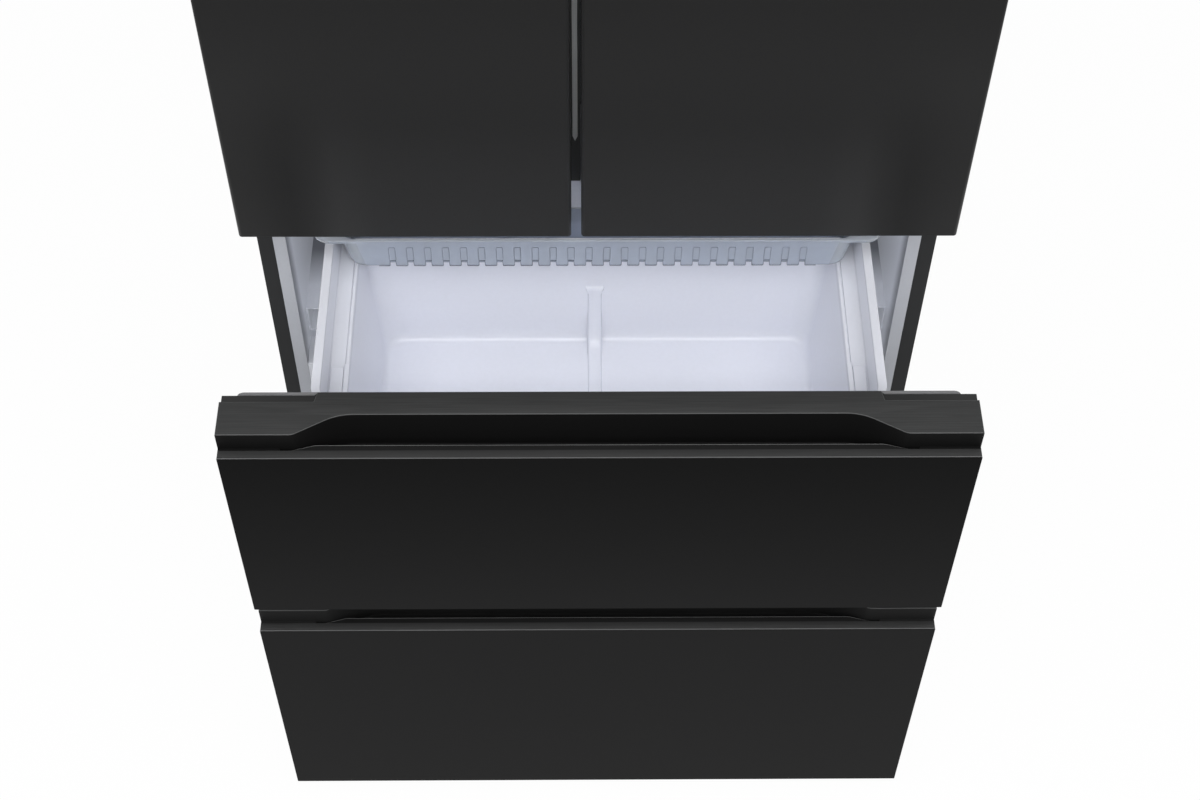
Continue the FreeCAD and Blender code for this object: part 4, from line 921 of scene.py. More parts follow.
@dataclass
class DrawerBin(SubAssembly):
    """Moulded white bin of one drawer, with a rounded well, a beaded ledge, two pads and a rib.

    Attributes:
        finish: its plastic.
        wall: thickness of its wall.
        rim: width of the rim round its top.
        rim_height: height of the rim.
        ledge_drop: how far the ledge lies under the rim.
        ledge: width of the ledge at the sides.
        rear_shelf: width of the ledge at the back.
        draft: how far the well's sides lean.
        back_draft: how far the well's back leans.
        wall_corner: corner radius of the upper wall.
        well_corner: corner radius of the well.
        floor_inset: how far the floor's flat middle stays inside the well.
        bead: height of the bead round the well's mouth.
        groove: depth of the groove beside the bead.
        pad: length of the pads at the ledge's front ends.
        pad_height: height of the pads.
        peg: length of the pegs beside the pads.
        peg_height: height of the pegs over the bead.
        pad_reach: distances from the well's mouth and from the upper wall to a pad.
        peg_reach: how far a peg stands over the well's mouth and out from it.
        pad_lap: how far pads and pegs reach into the front wall.
        pad_edge: rounding of their edges.
        sink: how far pads and pegs sink into the ledge.
        rib_half: half width of the rib.
        rib_height: height of the rib.
        rib_shift: how far the rib lies to the right of the middle.
        rib_sink: how far the rib sinks into the bin.
        rib_bend: radius at which the rib turns up the back wall.
        rib_steps: pieces of that turn.
        rib_head: along the back wall, the share of its height, the widening and the height's share.
        rib_profile: the rib's section as shares of its half width and of its height.
    """

    finish: Finish
    wall: float = 3.0
    rim: float = 10.0
    rim_height: float = 6.0
    ledge_drop: float = 48.0
    ledge: float = 23.0
    rear_shelf: float = 84.0
    draft: float = 15.0
    back_draft: float = 19.0
    wall_corner: float = 20.0
    well_corner: float = 24.0
    floor_inset: float = 40.0
    bead: float = 2.0
    groove: float = 1.4
    pad: float = 81.0
    pad_height: float = 1.6
    peg: float = 85.0
    peg_height: float = 1.2
    pad_reach: Pair = (6.0, 3.0)
    peg_reach: Pair = (0.3, 5.0)
    pad_lap: float = 0.5
    pad_edge: float = 0.6
    sink: float = 1.0
    rib_half: float = 7.6
    rib_height: float = 3.6
    rib_shift: float = -2.5
    rib_sink: float = 1.5
    rib_bend: float = 34.0
    rib_steps: int = 8
    rib_head: tuple[Point, ...] = (
        (0.26, 1.0, 1.0), (0.34, 1.0, 1.0), (0.405, 1.0, 1.0), (0.430, 1.28, 1.0), (0.455, 1.4, 0.9),
        (0.470, 1.4, 0.05),
    )
    rib_profile: tuple[Pair, ...] = (
        (-1.2, -0.2), (-1.06, 0.3), (-0.97, 0.86), (-0.86, 1.0), (0.86, 1.0), (0.97, 0.86), (1.06, 0.3),
        (1.2, -0.2),
    )

    @property
    def wide(self) -> float:
        """Half width inside the upper wall."""
        return self.high[0] - self.rim

    @property
    def narrow(self) -> float:
        """Half width of the well's mouth."""
        return self.wide - self.ledge

    @property
    def ledge_level(self) -> float:
        """Height of the ledge."""
        return self.high[2] - self.ledge_drop

    @property
    def mouth(self) -> float:
        """Back of the well's mouth."""
        return self.high[1] - self.wall - self.rear_shelf

    @property
    def well(self) -> float:
        """Back of the well's floor."""
        return self.mouth - self.back_draft

    def build(self) -> list[Piece]:
        """Builds, dresses and mounts the bin, its rib and its pads.

        Returns:
            The pieces.
        """
        pieces = [mount(self.shell(), self.finish, self.body, self.node)]
        for piece in (self.rib(), self.pads()):
            pieces.append(mount(piece, self.finish, self.body))
        return pieces

    def shell(self) -> Piece:
        """Makes the bin's skin, up its outside and down its inside.

        Returns:
            The bin.
        """
        w, wide, narrow, mouth, well = self.wall, self.wide, self.narrow, self.mouth, self.well
        edge, top, bottom, front, back = self.high[0], self.high[2], self.low[2], self.low[1], self.high[1]
        ledge, near, far, foot = self.ledge_level, front + w, back - w, narrow - self.draft
        under_rim, groove, crest = top - self.rim_height, ledge - self.groove, ledge + self.bead
        upper, lower, flat = self.wall_corner, self.well_corner, self.floor_inset
        outside = [
            ((foot + w, front, well + w, lower + 2, bottom), 0),
            ((narrow + w, front, mouth + w, lower + 4, ledge - w), 8),
            ((wide + w, front, back, upper, ledge - w), 3),
            ((wide + w, front, back, upper, under_rim), 2),
            ((edge, front, back, upper + 2, under_rim), 1),
            ((edge, front, back, upper + 2, top), 1.4),
        ]
        inside = [
            ((wide, near, far, upper - 2, top), 1.4),
            ((wide - 1.5, near, far, upper - 2, ledge), 5),
            ((narrow + 5.2, near, mouth + 5.2, lower + 3, ledge), 0.4),
            ((narrow + 4.8, near, mouth + 4.8, lower + 3, groove), 0.2),
            ((narrow + 4.0, near, mouth + 4.0, lower + 3, groove), 0.2),
            ((narrow + 3.7, near, mouth + 3.7, lower + 2, crest), 0.8),
            ((narrow + 0.3, near, mouth + 0.3, lower, crest), 1.2),
            ((narrow - 0.6, near, mouth - 0.6, lower, ledge - 2.5), 2),
            ((foot, near, well, lower, bottom + w), 18),
            ((foot - flat, near + flat, well - flat, 10, bottom + w), 0),
        ]
        return moulded(self.node + "_moulded", outside + inside)

    def pads(self) -> Piece:
        """Makes the raised pads at the ledge's front ends, each with a peg on the bead.

        Returns:
            The pads.
        """
        near, ledge, narrow = self.low[1] + self.wall - self.pad_lap, self.ledge_level, self.narrow
        spans = []
        for inner, outer, length, height in (
            (narrow + self.pad_reach[0], self.wide - self.pad_reach[1], self.pad, self.pad_height),
            (narrow - self.peg_reach[0], narrow + self.peg_reach[1], self.peg, self.bead + self.peg_height),
        ):
            for across in ((-outer, -inner), (inner, outer)):
                spans.append((across, (near, near + length), (ledge - self.sink, ledge + height)))
        pads = boxes(self.node + "_pads", spans)
        ease_edges(pads, self.pad_edge)
        return pads

    def rib(self) -> Piece:
        """Makes the rib along the floor and up the back wall, flared at its top.

        Returns:
            The rib.
        """
        floor, well, bend = self.low[2] + self.wall, self.well, self.rib_bend
        height = self.ledge_level - floor
        slope = math.atan2(height, self.back_draft)
        out = (-math.sin(slope), math.cos(slope))
        path = [(y, floor, 0.0, 1.0, 1.0, 1.0) for y in (self.low[1] + self.wall, well - bend)]
        for step in range(1, self.rib_steps):
            turn = step / self.rib_steps
            ny, nz = out[0] * turn, 1.0 + (out[1] - 1.0) * turn
            length = math.hypot(ny, nz)
            y = well - bend + bend * math.sin(turn * math.pi / 2)
            z = floor + bend * (1 - math.cos(turn * math.pi / 2))
            path.append((y, z, ny / length, nz / length, 1.0, 1.0))
        for share, grow, lift in self.rib_head:
            path.append((well + self.back_draft * share, floor + height * share, *out, grow, lift))
        rows = []
        for y, z, ny, nz, grow, lift in path:
            row = []
            for across, up in self.rib_profile:
                rise = self.rib_height * lift * up if up > 0 else -self.rib_sink
                x = self.rib_shift + self.rib_half * grow * across
                row.append(millimetres((x, y + ny * rise, z + nz * rise)))
            rows.append(row)
        return loft(self.node + "_rib", rows, sharp=60.0)


@dataclass
class SlottedTray(SubAssembly):
    """Clear shallow tray on the upper bin's rim, with a comb of slots in its front wall.

    Attributes:
        flange: thickness of the flange round its top.
        front_inset: how far its front stays behind the solid's.
        overhang: how far the flange stands over the front wall.
        side_gap: how far it stands over the side walls.
        rear_gap: how far it stands over the rear wall.
        corner: corner radius of the flange.
        draft: how far the side and rear walls lean.
        front_draft: how far the front wall leans.
        wall: thickness of the walls.
        floor_inset: how far the floor's flat middle stays inside.
        slots: number of slots.
        slot_width: width of a slot.
        slot_pitch: distance from slot to slot.
        slot_margin: distance from the flange to a slot's window.
        slot_reach: how far a notch reaches under the floor.
        notch: height of the open notch at a slot's foot.
        notch_taper: how far a notch narrows upwards at each side.
        flange_facing: how far up a face of the flange's top looks.
        end_facing: how far sideways a face of the rounded ends looks.
        line: half width of the raised lines.
        crest_profile: section of the flange's inner edge.
        line_profile: section of a raised line.
    """

    node: str = "upper_tray"
    body: str = "upper_tray"
    flange: float = 3.0
    front_inset: float = 5.0
    overhang: float = 2.0
    side_gap: float = 28.5
    rear_gap: float = 6.0
    corner: float = 20.0
    draft: float = 8.0
    front_draft: float = 2.0
    wall: float = 2.5
    floor_inset: float = 16.0
    slots: int = 24
    slot_width: float = 7.4
    slot_pitch: float = 20.5
    slot_margin: float = 10.0
    slot_reach: float = 6.0
    notch: float = 11.0
    notch_taper: float = 0.4
    flange_facing: float = 0.7
    end_facing: float = 0.08
    line: float = 0.42
    crest_profile: tuple[Pair, ...] = ((-0.9, 0.0), (-0.6, 0.4), (0.1, 0.5), (0.7, 0.2), (0.9, -0.4))
    line_profile: tuple[Pair, ...] = ((-1.0, 0.3), (-0.7, -0.3), (0.7, -0.3), (1.0, 0.3))

    def __post_init__(self) -> None:
        """Reads the solid's corners and draws the front back."""
        super().__post_init__()
        self.low = (self.low[0], self.low[1] + self.front_inset, self.low[2])

    @property
    def seat(self) -> float:
        """Underside of the flange."""
        return self.high[2] - self.flange

    @property
    def front(self) -> float:
        """Plane of the front wall under the flange."""
        return self.low[1] + self.overhang

    @property
    def straight(self) -> float:
        """Half length of the front wall between its rounded ends."""
        return self.high[0] - self.side_gap - self.corner

    def build(self) -> list[Piece]:
        """Builds, dresses and mounts the tray and its raised lines.

        Returns:
            The pieces.
        """
        tray = self.shell()
        self.cut_notches(tray)
        pieces = [mount(tray, TRAY, self.body, self.node)]
        self.tint(tray)
        for lines, finish in ((self.comb(), COMB), (self.windows(), WINDOW), (self.brow(), COMB),
                              (self.crest(), CREST)):
            pieces.append(mount(lines, finish, self.body))
        return pieces

    def tint(self, tray: Piece) -> None:
        """Gives the flange's top and the rounded ends lighter copies of the clear finish: painted light.

        Args:
            tray: the dressed tray.
        """
        flange_from = (self.high[2] - self.flange / 2) * MM
        for finish in (FLANGE, TRAY_END):
            tray.data.materials.append(finish.material())
        for face in tray.data.polygons:
            if face.normal.z > self.flange_facing and face.center.z > flange_from:
                face.material_index = 1
            elif abs(face.normal.x) > self.end_facing:
                face.material_index = 2

    def shell(self) -> Piece:
        """Makes the tray before its slots are cut.

        Returns:
            The plain tray.
        """
        edge, lip, back, top, floor = self.high[0], self.low[1], self.high[1], self.high[2], self.low[2]
        side, near, rear, seat = edge - self.side_gap, self.front, back - self.rear_gap, self.seat
        d, f, w, flat = self.draft, self.front_draft, self.wall, self.floor_inset
        return moulded("upper_tray_clear", [
            ((side - d - flat, near + f + flat, rear - d - flat, 12, floor), 0),
            ((side - d, near + f, rear - d, 22, floor), 5),
            ((side, near, rear, 21, seat), 2.0),
            ((edge, lip, back, self.corner, seat), 0.8),
            ((edge, lip, back, self.corner, top), 0.8),
            ((side - w, near + w, rear - w, 19, top), 3),
            ((side - w - d, near + w + f, rear - w - d, 20, floor + w), 4),
            ((side - w - d - flat, near + w + f + flat, rear - w - d - flat, 12, floor + w), 0),
        ])

    def middles(self) -> list[float]:
        """Gives the middle of each slot across the front wall."""
        return [(number - (self.slots - 1) / 2) * self.slot_pitch for number in range(self.slots)]

    def cut_notches(self, tray: Piece) -> None:
        """Cuts the open notches into the foot of the front wall.

        Args:
            tray: the plain tray.
        """
        foot, half = self.front + self.front_draft, self.slot_width / 2
        deep = (foot - self.slot_reach, foot + self.slot_reach)
        tall = (self.low[2] - self.wall, self.low[2] + self.notch)
        spans = [((middle - half, middle + half), deep, tall) for middle in self.middles()]
        cutter = boxes("slot_comb", spans)
        opening = tray.modifiers.new("slots", "BOOLEAN")
        opening.operation = "DIFFERENCE"
        opening.solver = "EXACT"
        opening.object = cutter
        graph = bpy.context.evaluated_depsgraph_get()
        mesh = bpy.data.meshes.new_from_object(tray.evaluated_get(graph))
        tray.modifiers.clear()
        tray.data = mesh
        bpy.data.objects.remove(cutter)
        mesh.shade_smooth()
        mesh.set_sharp_from_angle(angle=math.radians(40.0))

    def comb(self) -> Piece:
        """Makes the thick edge that runs along the foot of the front wall, round every notch.

        Returns:
            The edge.
        """
        half, foot, top = self.slot_width / 2, self.low[2] + 1.0, self.low[2] + self.notch
        inner, reach = half - self.notch_taper, (self.slots / 2 + 0.3) * self.slot_pitch
        notch = ((-half, foot, 1.0), (-inner, top, 1.6), (inner, top, 1.6), (half, foot, 1.0))
        corners = [(-reach, foot, 0.0)]
        for middle in self.middles():
            corners += [(middle + x, level, radius) for x, level, radius in notch]
        corners.append((reach, foot, 0.0))
        return self.raised_lines("upper_tray_comb", [rounded_path(corners, 4)])

    def windows(self) -> Piece:
        """Makes the moulded outline of the window above every notch.

        Returns:
            The outlines.
        """
        half, foot, top = self.slot_width / 2, self.low[2] + self.notch + 0.6, self.seat - self.slot_margin
        paths = []
        for middle in self.middles():
            left, right = middle - half, middle + half
            paths.append(rounded_path(
                [(left, foot, 0.0), (left, top, 2.4), (right, top, 1.4), (right, foot, 0.0)], 5))
        return self.raised_lines("upper_tray_windows", paths)

    def brow(self) -> Piece:
        """Makes the fine line under the flange, dark with painted shade.

        Returns:
            The line.
        """
        level, reach = self.seat - 0.5, self.straight
        return self.raised_lines("upper_tray_brow", [[(x, level) for x in (-reach, 0.0, reach)]])

    def crest(self) -> Piece:
        """Makes the rounded inner edge of the flange, with a painted highlight.

        Returns:
            The edge.
        """
        reach, inner, level = self.straight, self.front + self.wall, self.high[2] - 0.3
        rings = []
        for x, size in ((-reach, 0.2), (-reach + 2.0, 1.0), (reach - 2.0, 1.0), (reach, 0.2)):
            ring = [(x, inner + size * y, level + size * z) for y, z in self.crest_profile]
            rings.append([millimetres(point) for point in ring])
        return loft("upper_tray_crest", rings, sharp=60.0)

    def raised_lines(self, name: str, paths: Sequence[Sequence[Pair]]) -> Piece:
        """Lays thin raised lines on the front wall.

        Args:
            name: object name.
            paths: x and z along each line in millimetres.

        Returns:
            The lines as one piece.
        """
        lean = self.front_draft / (self.seat - self.low[2])
        count = len(self.line_profile)
        points: list[Point] = []
        faces: list[Sequence[int]] = []
        for path in paths:
            first = len(points)
            for number, (x, z) in enumerate(path):
                before, after = path[max(0, number - 1)], path[min(len(path) - 1, number + 1)]
                ahead = Vector((after[0] - before[0], after[1] - before[1])).normalized() * self.line
                y = self.front + lean * (self.seat - z)
                for across, out in self.line_profile:
                    points.append(millimetres((x - ahead[1] * across, y + out, z + ahead[0] * across)))
            last = len(points) - count
            for a in range(first, last, count):
                b = a + count
                faces += [(a + k, a + (k + 1) % count, b + (k + 1) % count, b + k) for k in range(count)]
            faces += [tuple(reversed(range(first, first + count))), tuple(range(last, last + count))]
        return build(name, points, faces)


@dataclass
class HandleCap(SubAssembly):
    """Brushed cap along a drawer front's top, with the finger pocket's curved wall and the rear trims.

    Attributes:
        half: half length of the cap.
        lip_depth: depth of the panel's lip in front of the pocket.
        step: distance from the drawer's face to the cap's ends.
        pocket: distance from the drawer's face to the pocket's wall.
        pocket_end: half length of the pocket.
        slope: length of the pocket's slanted ends.
        outer_radius: rounding where a slanted end leaves the cap's end.
        inner_radius: rounding where it meets the pocket's wall.
        hump: how far the middle of the back stands out.
        hump_half: half length of that middle.
        hump_slope: length over which it falls back.
        trim: depth of the rear trims.
        trim_inset: how far the trims stop before the ends.
        trim_drop: how far the trims lie under the top.
        rise: height of the cap over the lip.
        pocket_drop: depth of the pocket under the lip.
        ledge_depth: depth of the ledge behind the lip.
        ledge_end: half length of the ledge.
        ledge_sweep: length over which it sweeps back to the lip.
        ledge_turn: rounding of that sweep.
        ledge_rows: rounding of the ledge's edge as a drop and an inset.
        ledge_tuck: how far the ledge reaches into the lip.
        ledge_tip: depth of the ledge's ends.
        ledge_foot: how far the ledge reaches into the pocket's floor.
        edge_rows: rounding of the top edge as a drop and an inset.
        fillet_rows: rounding at the pocket's floor as a rise and a reach.
        sill: thickness of the pocket's floor.
        sill_inset: how far the fillings beside it stop before the cap's ends.
        sill_lap: how far the fillings reach under the cap.
        sill_tuck: how far the floor reaches under the pocket's wall.
        slack: allowance with which parts of the outline are told apart.
        front_until: how far behind the middle the outline counts as its front.
    """

    half: float = 398.0
    lip_depth: float = 11.0
    step: float = 14.0
    pocket: float = 40.0
    pocket_end: float = 318.5
    slope: float = 46.0
    outer_radius: float = 15.0
    inner_radius: float = 60.0
    hump: float = 3.5
    hump_half: float = 296.0
    hump_slope: float = 3.0
    trim: float = 9.0
    trim_inset: float = 2.0
    trim_drop: float = 1.6
    rise: float = 24.0
    pocket_drop: float = 27.0
    ledge_depth: float = 7.2
    ledge_end: float = 323.0
    ledge_sweep: float = 26.0
    ledge_turn: float = 20.0
    ledge_rows: tuple[Pair, ...] = ((0.9, 0.0), (0.35, 0.25), (0.15, 0.8))
    ledge_tuck: float = 0.3
    ledge_tip: float = 0.4
    ledge_foot: float = 1.0
    edge_rows: tuple[Pair, ...] = ((0.8, 0.0), (0.24, 0.24), (0.0, 0.8))
    fillet_rows: tuple[Pair, ...] = ((0.0, 2.2), (0.5, 0.8), (2.2, 0.0))
    sill: float = 3.5
    sill_inset: float = 1.2
    sill_lap: float = 0.5
    sill_tuck: float = 4.0
    slack: float = 1.0
    front_until: float = 10.0

    @property
    def face(self) -> float:
        """Front plane of the drawer."""
        return self.low[1] - self.lip_depth

    @property
    def back(self) -> float:
        """Back plane of the drawer front."""
        return self.high[1] - self.hump

    @property
    def lip(self) -> float:
        """Level of the lip."""
        return self.high[2] - self.rise

    @property
    def floor(self) -> float:
        """Level of the pocket's floor."""
        return self.lip - self.pocket_drop

    def build(self) -> list[Piece]:
        """Builds, dresses and mounts the cap, the pocket's floor and the ledge.

        Returns:
            The pieces.
        """
        rings = self.rings()
        cap = loft(self.node + "_brushed", [[millimetres(p) for p in ring] for ring in rings], sharp=30.0)
        pieces = [mount(cap, CAP, self.body, self.node)]
        # Painted light on the cap: its walls and pocket are in painted shade, the trims' step darker still,
        # and its rounded top edge is a painted highlight; the pocket's floor below is in painted shade too.
        tint_rows(cap, len(rings[0]), (POCKET_SHADE, POCKET_SHADE, POCKET_SHADE, END_CAP, POCKET_SHADE, EDGE, EDGE))
        pieces.append(mount(self.pocket_floor(), POCKET_SHADE, self.body))
        outline = self.ledge_outline()
        ledge = self.ledge(outline)
        pieces.append(mount(ledge, POCKET_FLOOR, self.body))
        # The ledge's rounded edge is a painted highlight, its front wall in painted shade.
        tint_rows(ledge, len(outline), (POCKET_SHADE, LEDGE_EDGE, LEDGE_EDGE))
        return pieces

    def outline(self) -> list[Pair]:
        """Lays out the cap as seen from above, going round once.

        Returns:
            Points of the outline.
        """
        step, wall = self.face + self.step, self.face + self.pocket
        inner = self.pocket_end - self.slope
        front = rounded_path((
            (-self.half, step, 0.0),
            (-self.pocket_end, step, self.outer_radius),
            (-inner, wall, self.inner_radius),
            (inner, wall, self.inner_radius),
            (self.pocket_end, step, self.outer_radius),
            (self.half, step, 0.0),
        ))
        shelf, side, hump = self.back - self.trim, self.half - self.trim_inset, self.hump_half
        right = [(self.half, shelf), (side, shelf), (side, self.back), (hump + self.hump_slope, self.back),
                 (hump, self.back + self.hump)]
        return front + right + [(-x, y) for x, y in reversed(right)]

    def rings(self) -> list[list[Point]]:
        """Stacks the outline from the pocket's floor over the rear trims to the rounded top edge.

        Returns:
            The rings.
        """
        outline, top = self.outline(), self.high[2]
        shelf, shoulder = self.back - self.trim, top - self.trim_drop
        hump = self.hump_half + self.slack
        narrowed = [(x, shelf if abs(x) > hump and y > shelf else y) for x, y in outline]
        rings = []
        for rise, out in self.fillet_rows:
            level = self.floor + rise
            rings.append([(x, y - (out if self.in_pocket(x, y) else 0.0), level) for x, y in outline])
        rings.append([(x, y, shoulder) for x, y in outline])
        rings.append([(x, y, shoulder) for x, y in narrowed])
        for drop, inset in self.edge_rows:
            share = 1 - inset / self.half
            rings.append([(x * share, self.pulled(y, inset), top - drop) for x, y in narrowed])
        return rings

    def in_pocket(self, x: float, y: float) -> bool:
        """Tells the pocket's own wall from the rest of the outline."""
        return abs(x) < self.pocket_end and y < self.face + self.pocket + self.slack

    def pulled(self, y: float, inset: float) -> float:
        """Pulls a point of the outline in from the front or from the back."""
        return y + inset if y < (self.face + self.back) / 2 + self.front_until else y - inset

    def pocket_floor(self) -> Piece:
        """Makes the pocket's floor and the fillings beside it behind the lip.

        Returns:
            The floor.
        """
        wing, side = self.pocket_end + self.outer_radius, self.half - self.sill_inset
        near, under = self.face + self.lip_depth, self.floor - self.sill
        filling = ((near, self.face + self.step + self.sill_lap), (under, self.lip))
        return boxes(self.node + "_sill", (
            ((-wing, wing), (near, self.face + self.pocket + self.sill_tuck), (under, self.floor)),
            ((wing, side), *filling),
            ((-side, -wing), *filling),
        ))

    def ledge_outline(self) -> list[Pair]:
        """Lays out the ledge as seen from above, swept back to the lip at its ends.

        Returns:
            Points of the outline.
        """
        near = self.face + self.lip_depth - self.ledge_tuck
        tip = near + self.ledge_tip
        far = self.face + self.lip_depth + self.ledge_depth
        end, turn = self.ledge_end, self.ledge_end - self.ledge_sweep
        return rounded_path((
            (end, near, 0.0),
            (end, tip, 0.0),
            (turn, far, self.ledge_turn),
            (-turn, far, self.ledge_turn),
            (-end, tip, 0.0),
            (-end, near, 0.0),
        ))

    def ledge(self, outline: Sequence[Pair]) -> Piece:
        """Makes the narrow ledge between the lip and the pocket.

        Args:
            outline: the ledge as seen from above.

        Returns:
            The ledge.
        """
        near = outline[0][1]
        rows = [(self.floor - self.ledge_foot, 0.0)]
        rows += [(self.lip - drop, inset) for drop, inset in self.ledge_rows]
        rings = []
        for level, inset in rows:
            rings.append([millimetres((x, max(near, y - inset), level)) for x, y in outline])
        return loft(self.node + "_ledge", rings, sharp=50.0)


@dataclass
class LipStrip(SubAssembly):
    """Top of a drawer panel's lip: a brushed strip, a dark seam and a painted highlight along the folded
    sheet's front edge.

    Attributes:
        depth: depth of the lip.
        margin: how far the strips stop before the panel's ends.
        sink: how far they sink into the lip.
        rounding: rounding of their edges.
        rounding_share: share of a strip's height that the rounding may take up.
        bend_share: share of the rounding at its middle.
    """

    depth: float = 11.0
    margin: float = 0.4
    sink: float = 0.4
    rounding: float = 0.25
    rounding_share: float = 0.4
    bend_share: float = 0.3

    def build(self) -> list[Piece]:
        """Builds, dresses and mounts the three strips.

        Returns:
            The pieces.
        """
        pieces = []
        # The edge strip is a painted highlight along the sheet's front edge.
        for name, near, far, tall, finish, slot in (
            ("brushed", 2.5, self.depth, 0.30, LIP, Slot.BRUSHED_DARK),
            ("seam", 1.7, 2.5, 0.06, BLACK, Slot.BLACK_PLASTIC),
            ("edge", 0.5, 1.7, 0.22, LIP_EDGE_HIGHLIGHT, Slot.GRAPHITE_STEEL),
        ):
            pieces.append(mount(self.strip(name, near, far, tall), finish, self.body))
        return pieces

    def strip(self, name: str, near: float, far: float, tall: float) -> Piece:
        """Makes one strip with rounded long edges and tapered ends.

        Args:
            name: end of the object's name.
            near: its front, from the drawer's face.
            far: its back, from the drawer's face.
            tall: its top over the lip.

        Returns:
            The strip.
        """
        near, far = self.low[1] + near, self.low[1] + far
        foot, top, half = self.high[2] - self.sink, self.high[2] + tall, self.high[0] - self.margin
        turn = min(self.rounding, (top - foot) * self.rounding_share)
        bend = turn * self.bend_share
        outline = ((near, foot), (near, top - turn), (near + bend, top - bend), (near + turn, top),
                   (far - turn, top), (far - bend, top - bend), (far, top - turn), (far, foot))
        rings = []
        for x, inset in ((-half, turn), (-half + turn, 0.0), (half - turn, 0.0), (half, turn)):
            rings.append([millimetres((x, y, max(foot, z - inset))) for y, z in outline])
        return loft(f"{self.node}_{name}", rings, sharp=40.0)


@dataclass
class BarFace(SubAssembly):
    """What shows of the bar behind the door gap: a soft black lip and a bright strip with a pointed foot.

    Attributes:
        lip_reach: how far the lip stands out beside the strip's solid.
        lip_width: width of the lip.
        lip_thick: thickness of the lip.
        lip_drop: how far the lip hangs below the strip.
        lip_root: share of the thickness at the lip's root.
        lip_edge: section of its free edge, as a distance from its end and a share of its thickness.
        lip_rows: rounding of its foot as a rise and an inset.
        lip_gap: how far the lip lies in front of the bar.
        width: width of the strip.
        shift: how far the strip lies to the right of its solid.
        tip: height of the strip's pointed foot.
        stand: how far the strip stands out from the lip.
        taper: share by which the strip narrows towards its front.
    """

    node: str = "flip_bar_strip"
    body: str = "flip_bar"
    lip_reach: float = 5.6
    lip_width: float = 20.0
    lip_thick: float = 1.2
    lip_drop: float = 64.0
    lip_root: float = 0.8
    lip_edge: tuple[Pair, ...] = ((1.6, 1.0), (0.6, 0.8), (0.1, 0.4), (0.3, 0.0))
    lip_rows: tuple[Pair, ...] = ((0.0, 0.4), (1.5, 0.0))
    lip_gap: float = 0.05
    width: float = 5.8
    shift: float = 2.2
    tip: float = 7.0
    stand: float = 0.6
    taper: float = 0.25 / 2.6

    def build(self) -> list[Piece]:
        """Builds, dresses and mounts the lip and the strip.

        Returns:
            The pieces.
        """
        return [mount(self.lip(), RUBBER, self.body),
                mount(self.strip(), STRIP, self.body, self.node)]

    def lip(self) -> Piece:
        """Makes the soft lip that closes the gap beside the bar.

        Returns:
            The lip.
        """
        right, front = self.high[0] + self.lip_reach, self.low[1] - self.lip_gap
        foot, root = self.low[2] - self.lip_drop, self.lip_width
        outline = ((root, 0.0), (root, self.lip_root), *self.lip_edge)
        rows = [(foot + rise, inset) for rise, inset in self.lip_rows] + [(self.high[2], 0.0)]
        rings = []
        for level, inset in rows:
            ring = []
            for across, out in outline:
                pull = inset if across == root else -inset
                ring.append(millimetres((right - across + pull, front - out * self.lip_thick, level)))
            rings.append(ring)
        return loft("flip_bar_lip", rings, sharp=40.0)

    def strip(self) -> Piece:
        """Makes the bright strip.

        Returns:
            The strip.
        """
        foot, top = self.low[2], self.high[2]
        right, front = self.high[0] + self.shift, self.low[1] - self.lip_thick
        left, middle, base = right - self.width, right - self.width / 2, foot + self.tip
        outline = ((left, base), (middle, foot), (right, base), (right, top), (left, top))
        rings = []
        for y, taper in ((self.high[1], 0.0), (front, 0.0), (front - self.stand, self.taper)):
            rings.append([millimetres((middle + (x - middle) * (1 - taper), y, z)) for x, z in outline])
        return loft(self.node + "_pointed", rings, sharp=30.0)


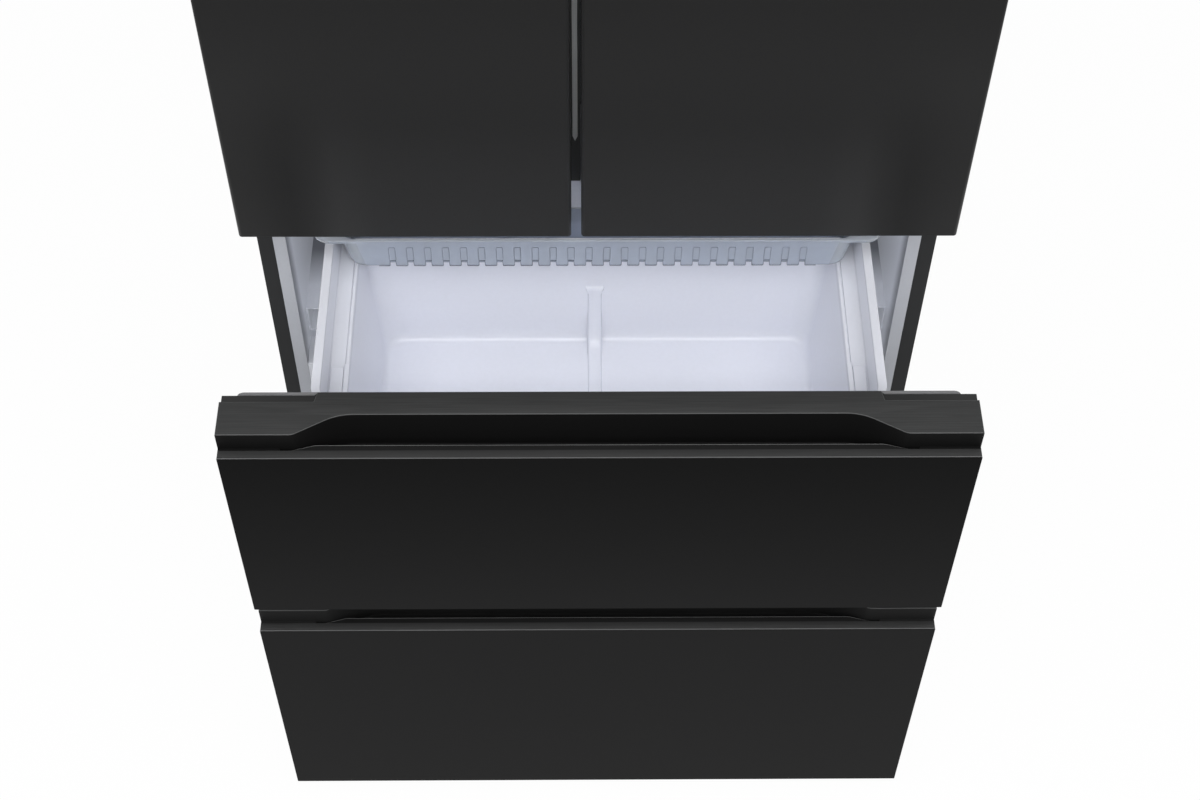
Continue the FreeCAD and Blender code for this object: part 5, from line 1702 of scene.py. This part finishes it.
@dataclass
class Seal(SubAssembly):
    """Bellows seal of a door or drawer front, a hollow-sided strip round its back.

    Attributes:
        corner: outer corner radius.
        least_corner: smallest corner radius.
        width: width of the strip.
        profile: the strip's section as shares of its width and of its depth.
    """

    corner: float = 9.0
    least_corner: float = 2.0
    width: float = 14.0
    profile: tuple[Pair, ...] = (
        (0.0, 0.0), (0.0, 0.22), (0.16, 0.34), (0.16, 0.62), (0.02, 0.72), (0.0, 0.80), (0.03, 0.95),
        (0.12, 1.0), (0.38, 1.0), (0.5, 0.96), (0.62, 1.0), (0.88, 1.0), (0.97, 0.95), (1.0, 0.80),
        (0.98, 0.72), (0.84, 0.62), (0.84, 0.34), (1.0, 0.22), (1.0, 0.0),
    )

    def build(self) -> list[Piece]:
        """Builds, dresses and mounts the seal.

        Returns:
            The pieces.
        """
        (left, front, foot), (right, back, top) = self.low, self.high
        middle, half = (left + right) / 2, (right - left) / 2
        rings = []
        for across, along in self.profile:
            inset, y = across * self.width, front + along * (back - front)
            radius = max(self.least_corner, self.corner - inset * 0.4)
            ring = rounded_ring((half - inset, foot + inset, top - inset, radius, 0.0), 5)
            rings.append([millimetres((x + middle, y, z)) for x, z, _ in ring])
        seal = loft(self.node + "_bellows", rings, closed=True, sharp=50.0)
        return [mount(seal, SEAL, self.body, self.node)]


@dataclass
class CarriedSolids:
    """The solids that keep their own shape and only get finishes and eased edges.

    Attributes:
        finishes: each finish with the solids that have it.
        edges: each rounding in millimetres with the solids that have it.
    """

    finishes: Sequence[tuple[Finish, str]] = SOLIDS_IN
    edges: Sequence[tuple[float, str]] = EDGES_OF

    def build(self) -> list[Piece]:
        """Dresses every carried solid through its own slots.

        Returns:
            The solids.
        """
        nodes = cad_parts
        for finish, names in self.finishes:
            for name in names.split():
                for slot in nodes[name].material_slots:
                    slot.material = finish.material()
        for width, names in self.edges:
            for name in names.split():
                ease_edges(nodes[name], width)
        return list(nodes.values())


def main() -> None:
    """Builds the studio, dresses the solids and adds the moulded and soft pieces."""
    logging.basicConfig(level=logging.INFO)
    Studio().build()
    for solid in CarriedSolids().build():
        LOG.info("%s dressed", solid.name)
    parts: list[SubAssembly] = [
        DrawerBin("upper_bin", "upper_drawer", BIN),
        DrawerBin("lower_bin", "lower_drawer", LOWER_BIN),
        SlottedTray(),
        HandleCap("upper_handle_cap", "upper_drawer"),
        HandleCap("lower_handle_cap", "lower_drawer"),
        LipStrip("upper_front_panel", "upper_drawer"),
        LipStrip("lower_front_panel", "lower_drawer"),
        BarFace(),
        Seal("left_door_gasket", "left_door"),
        Seal("right_door_gasket", "right_door"),
        Seal("upper_front_gasket", "upper_drawer"),
        Seal("lower_front_gasket", "lower_drawer"),
    ]
    for part in parts:
        for piece in part.build():
            LOG.info("%s built on %s", piece.name, part.body)


if __name__ == "__main__":
    main()
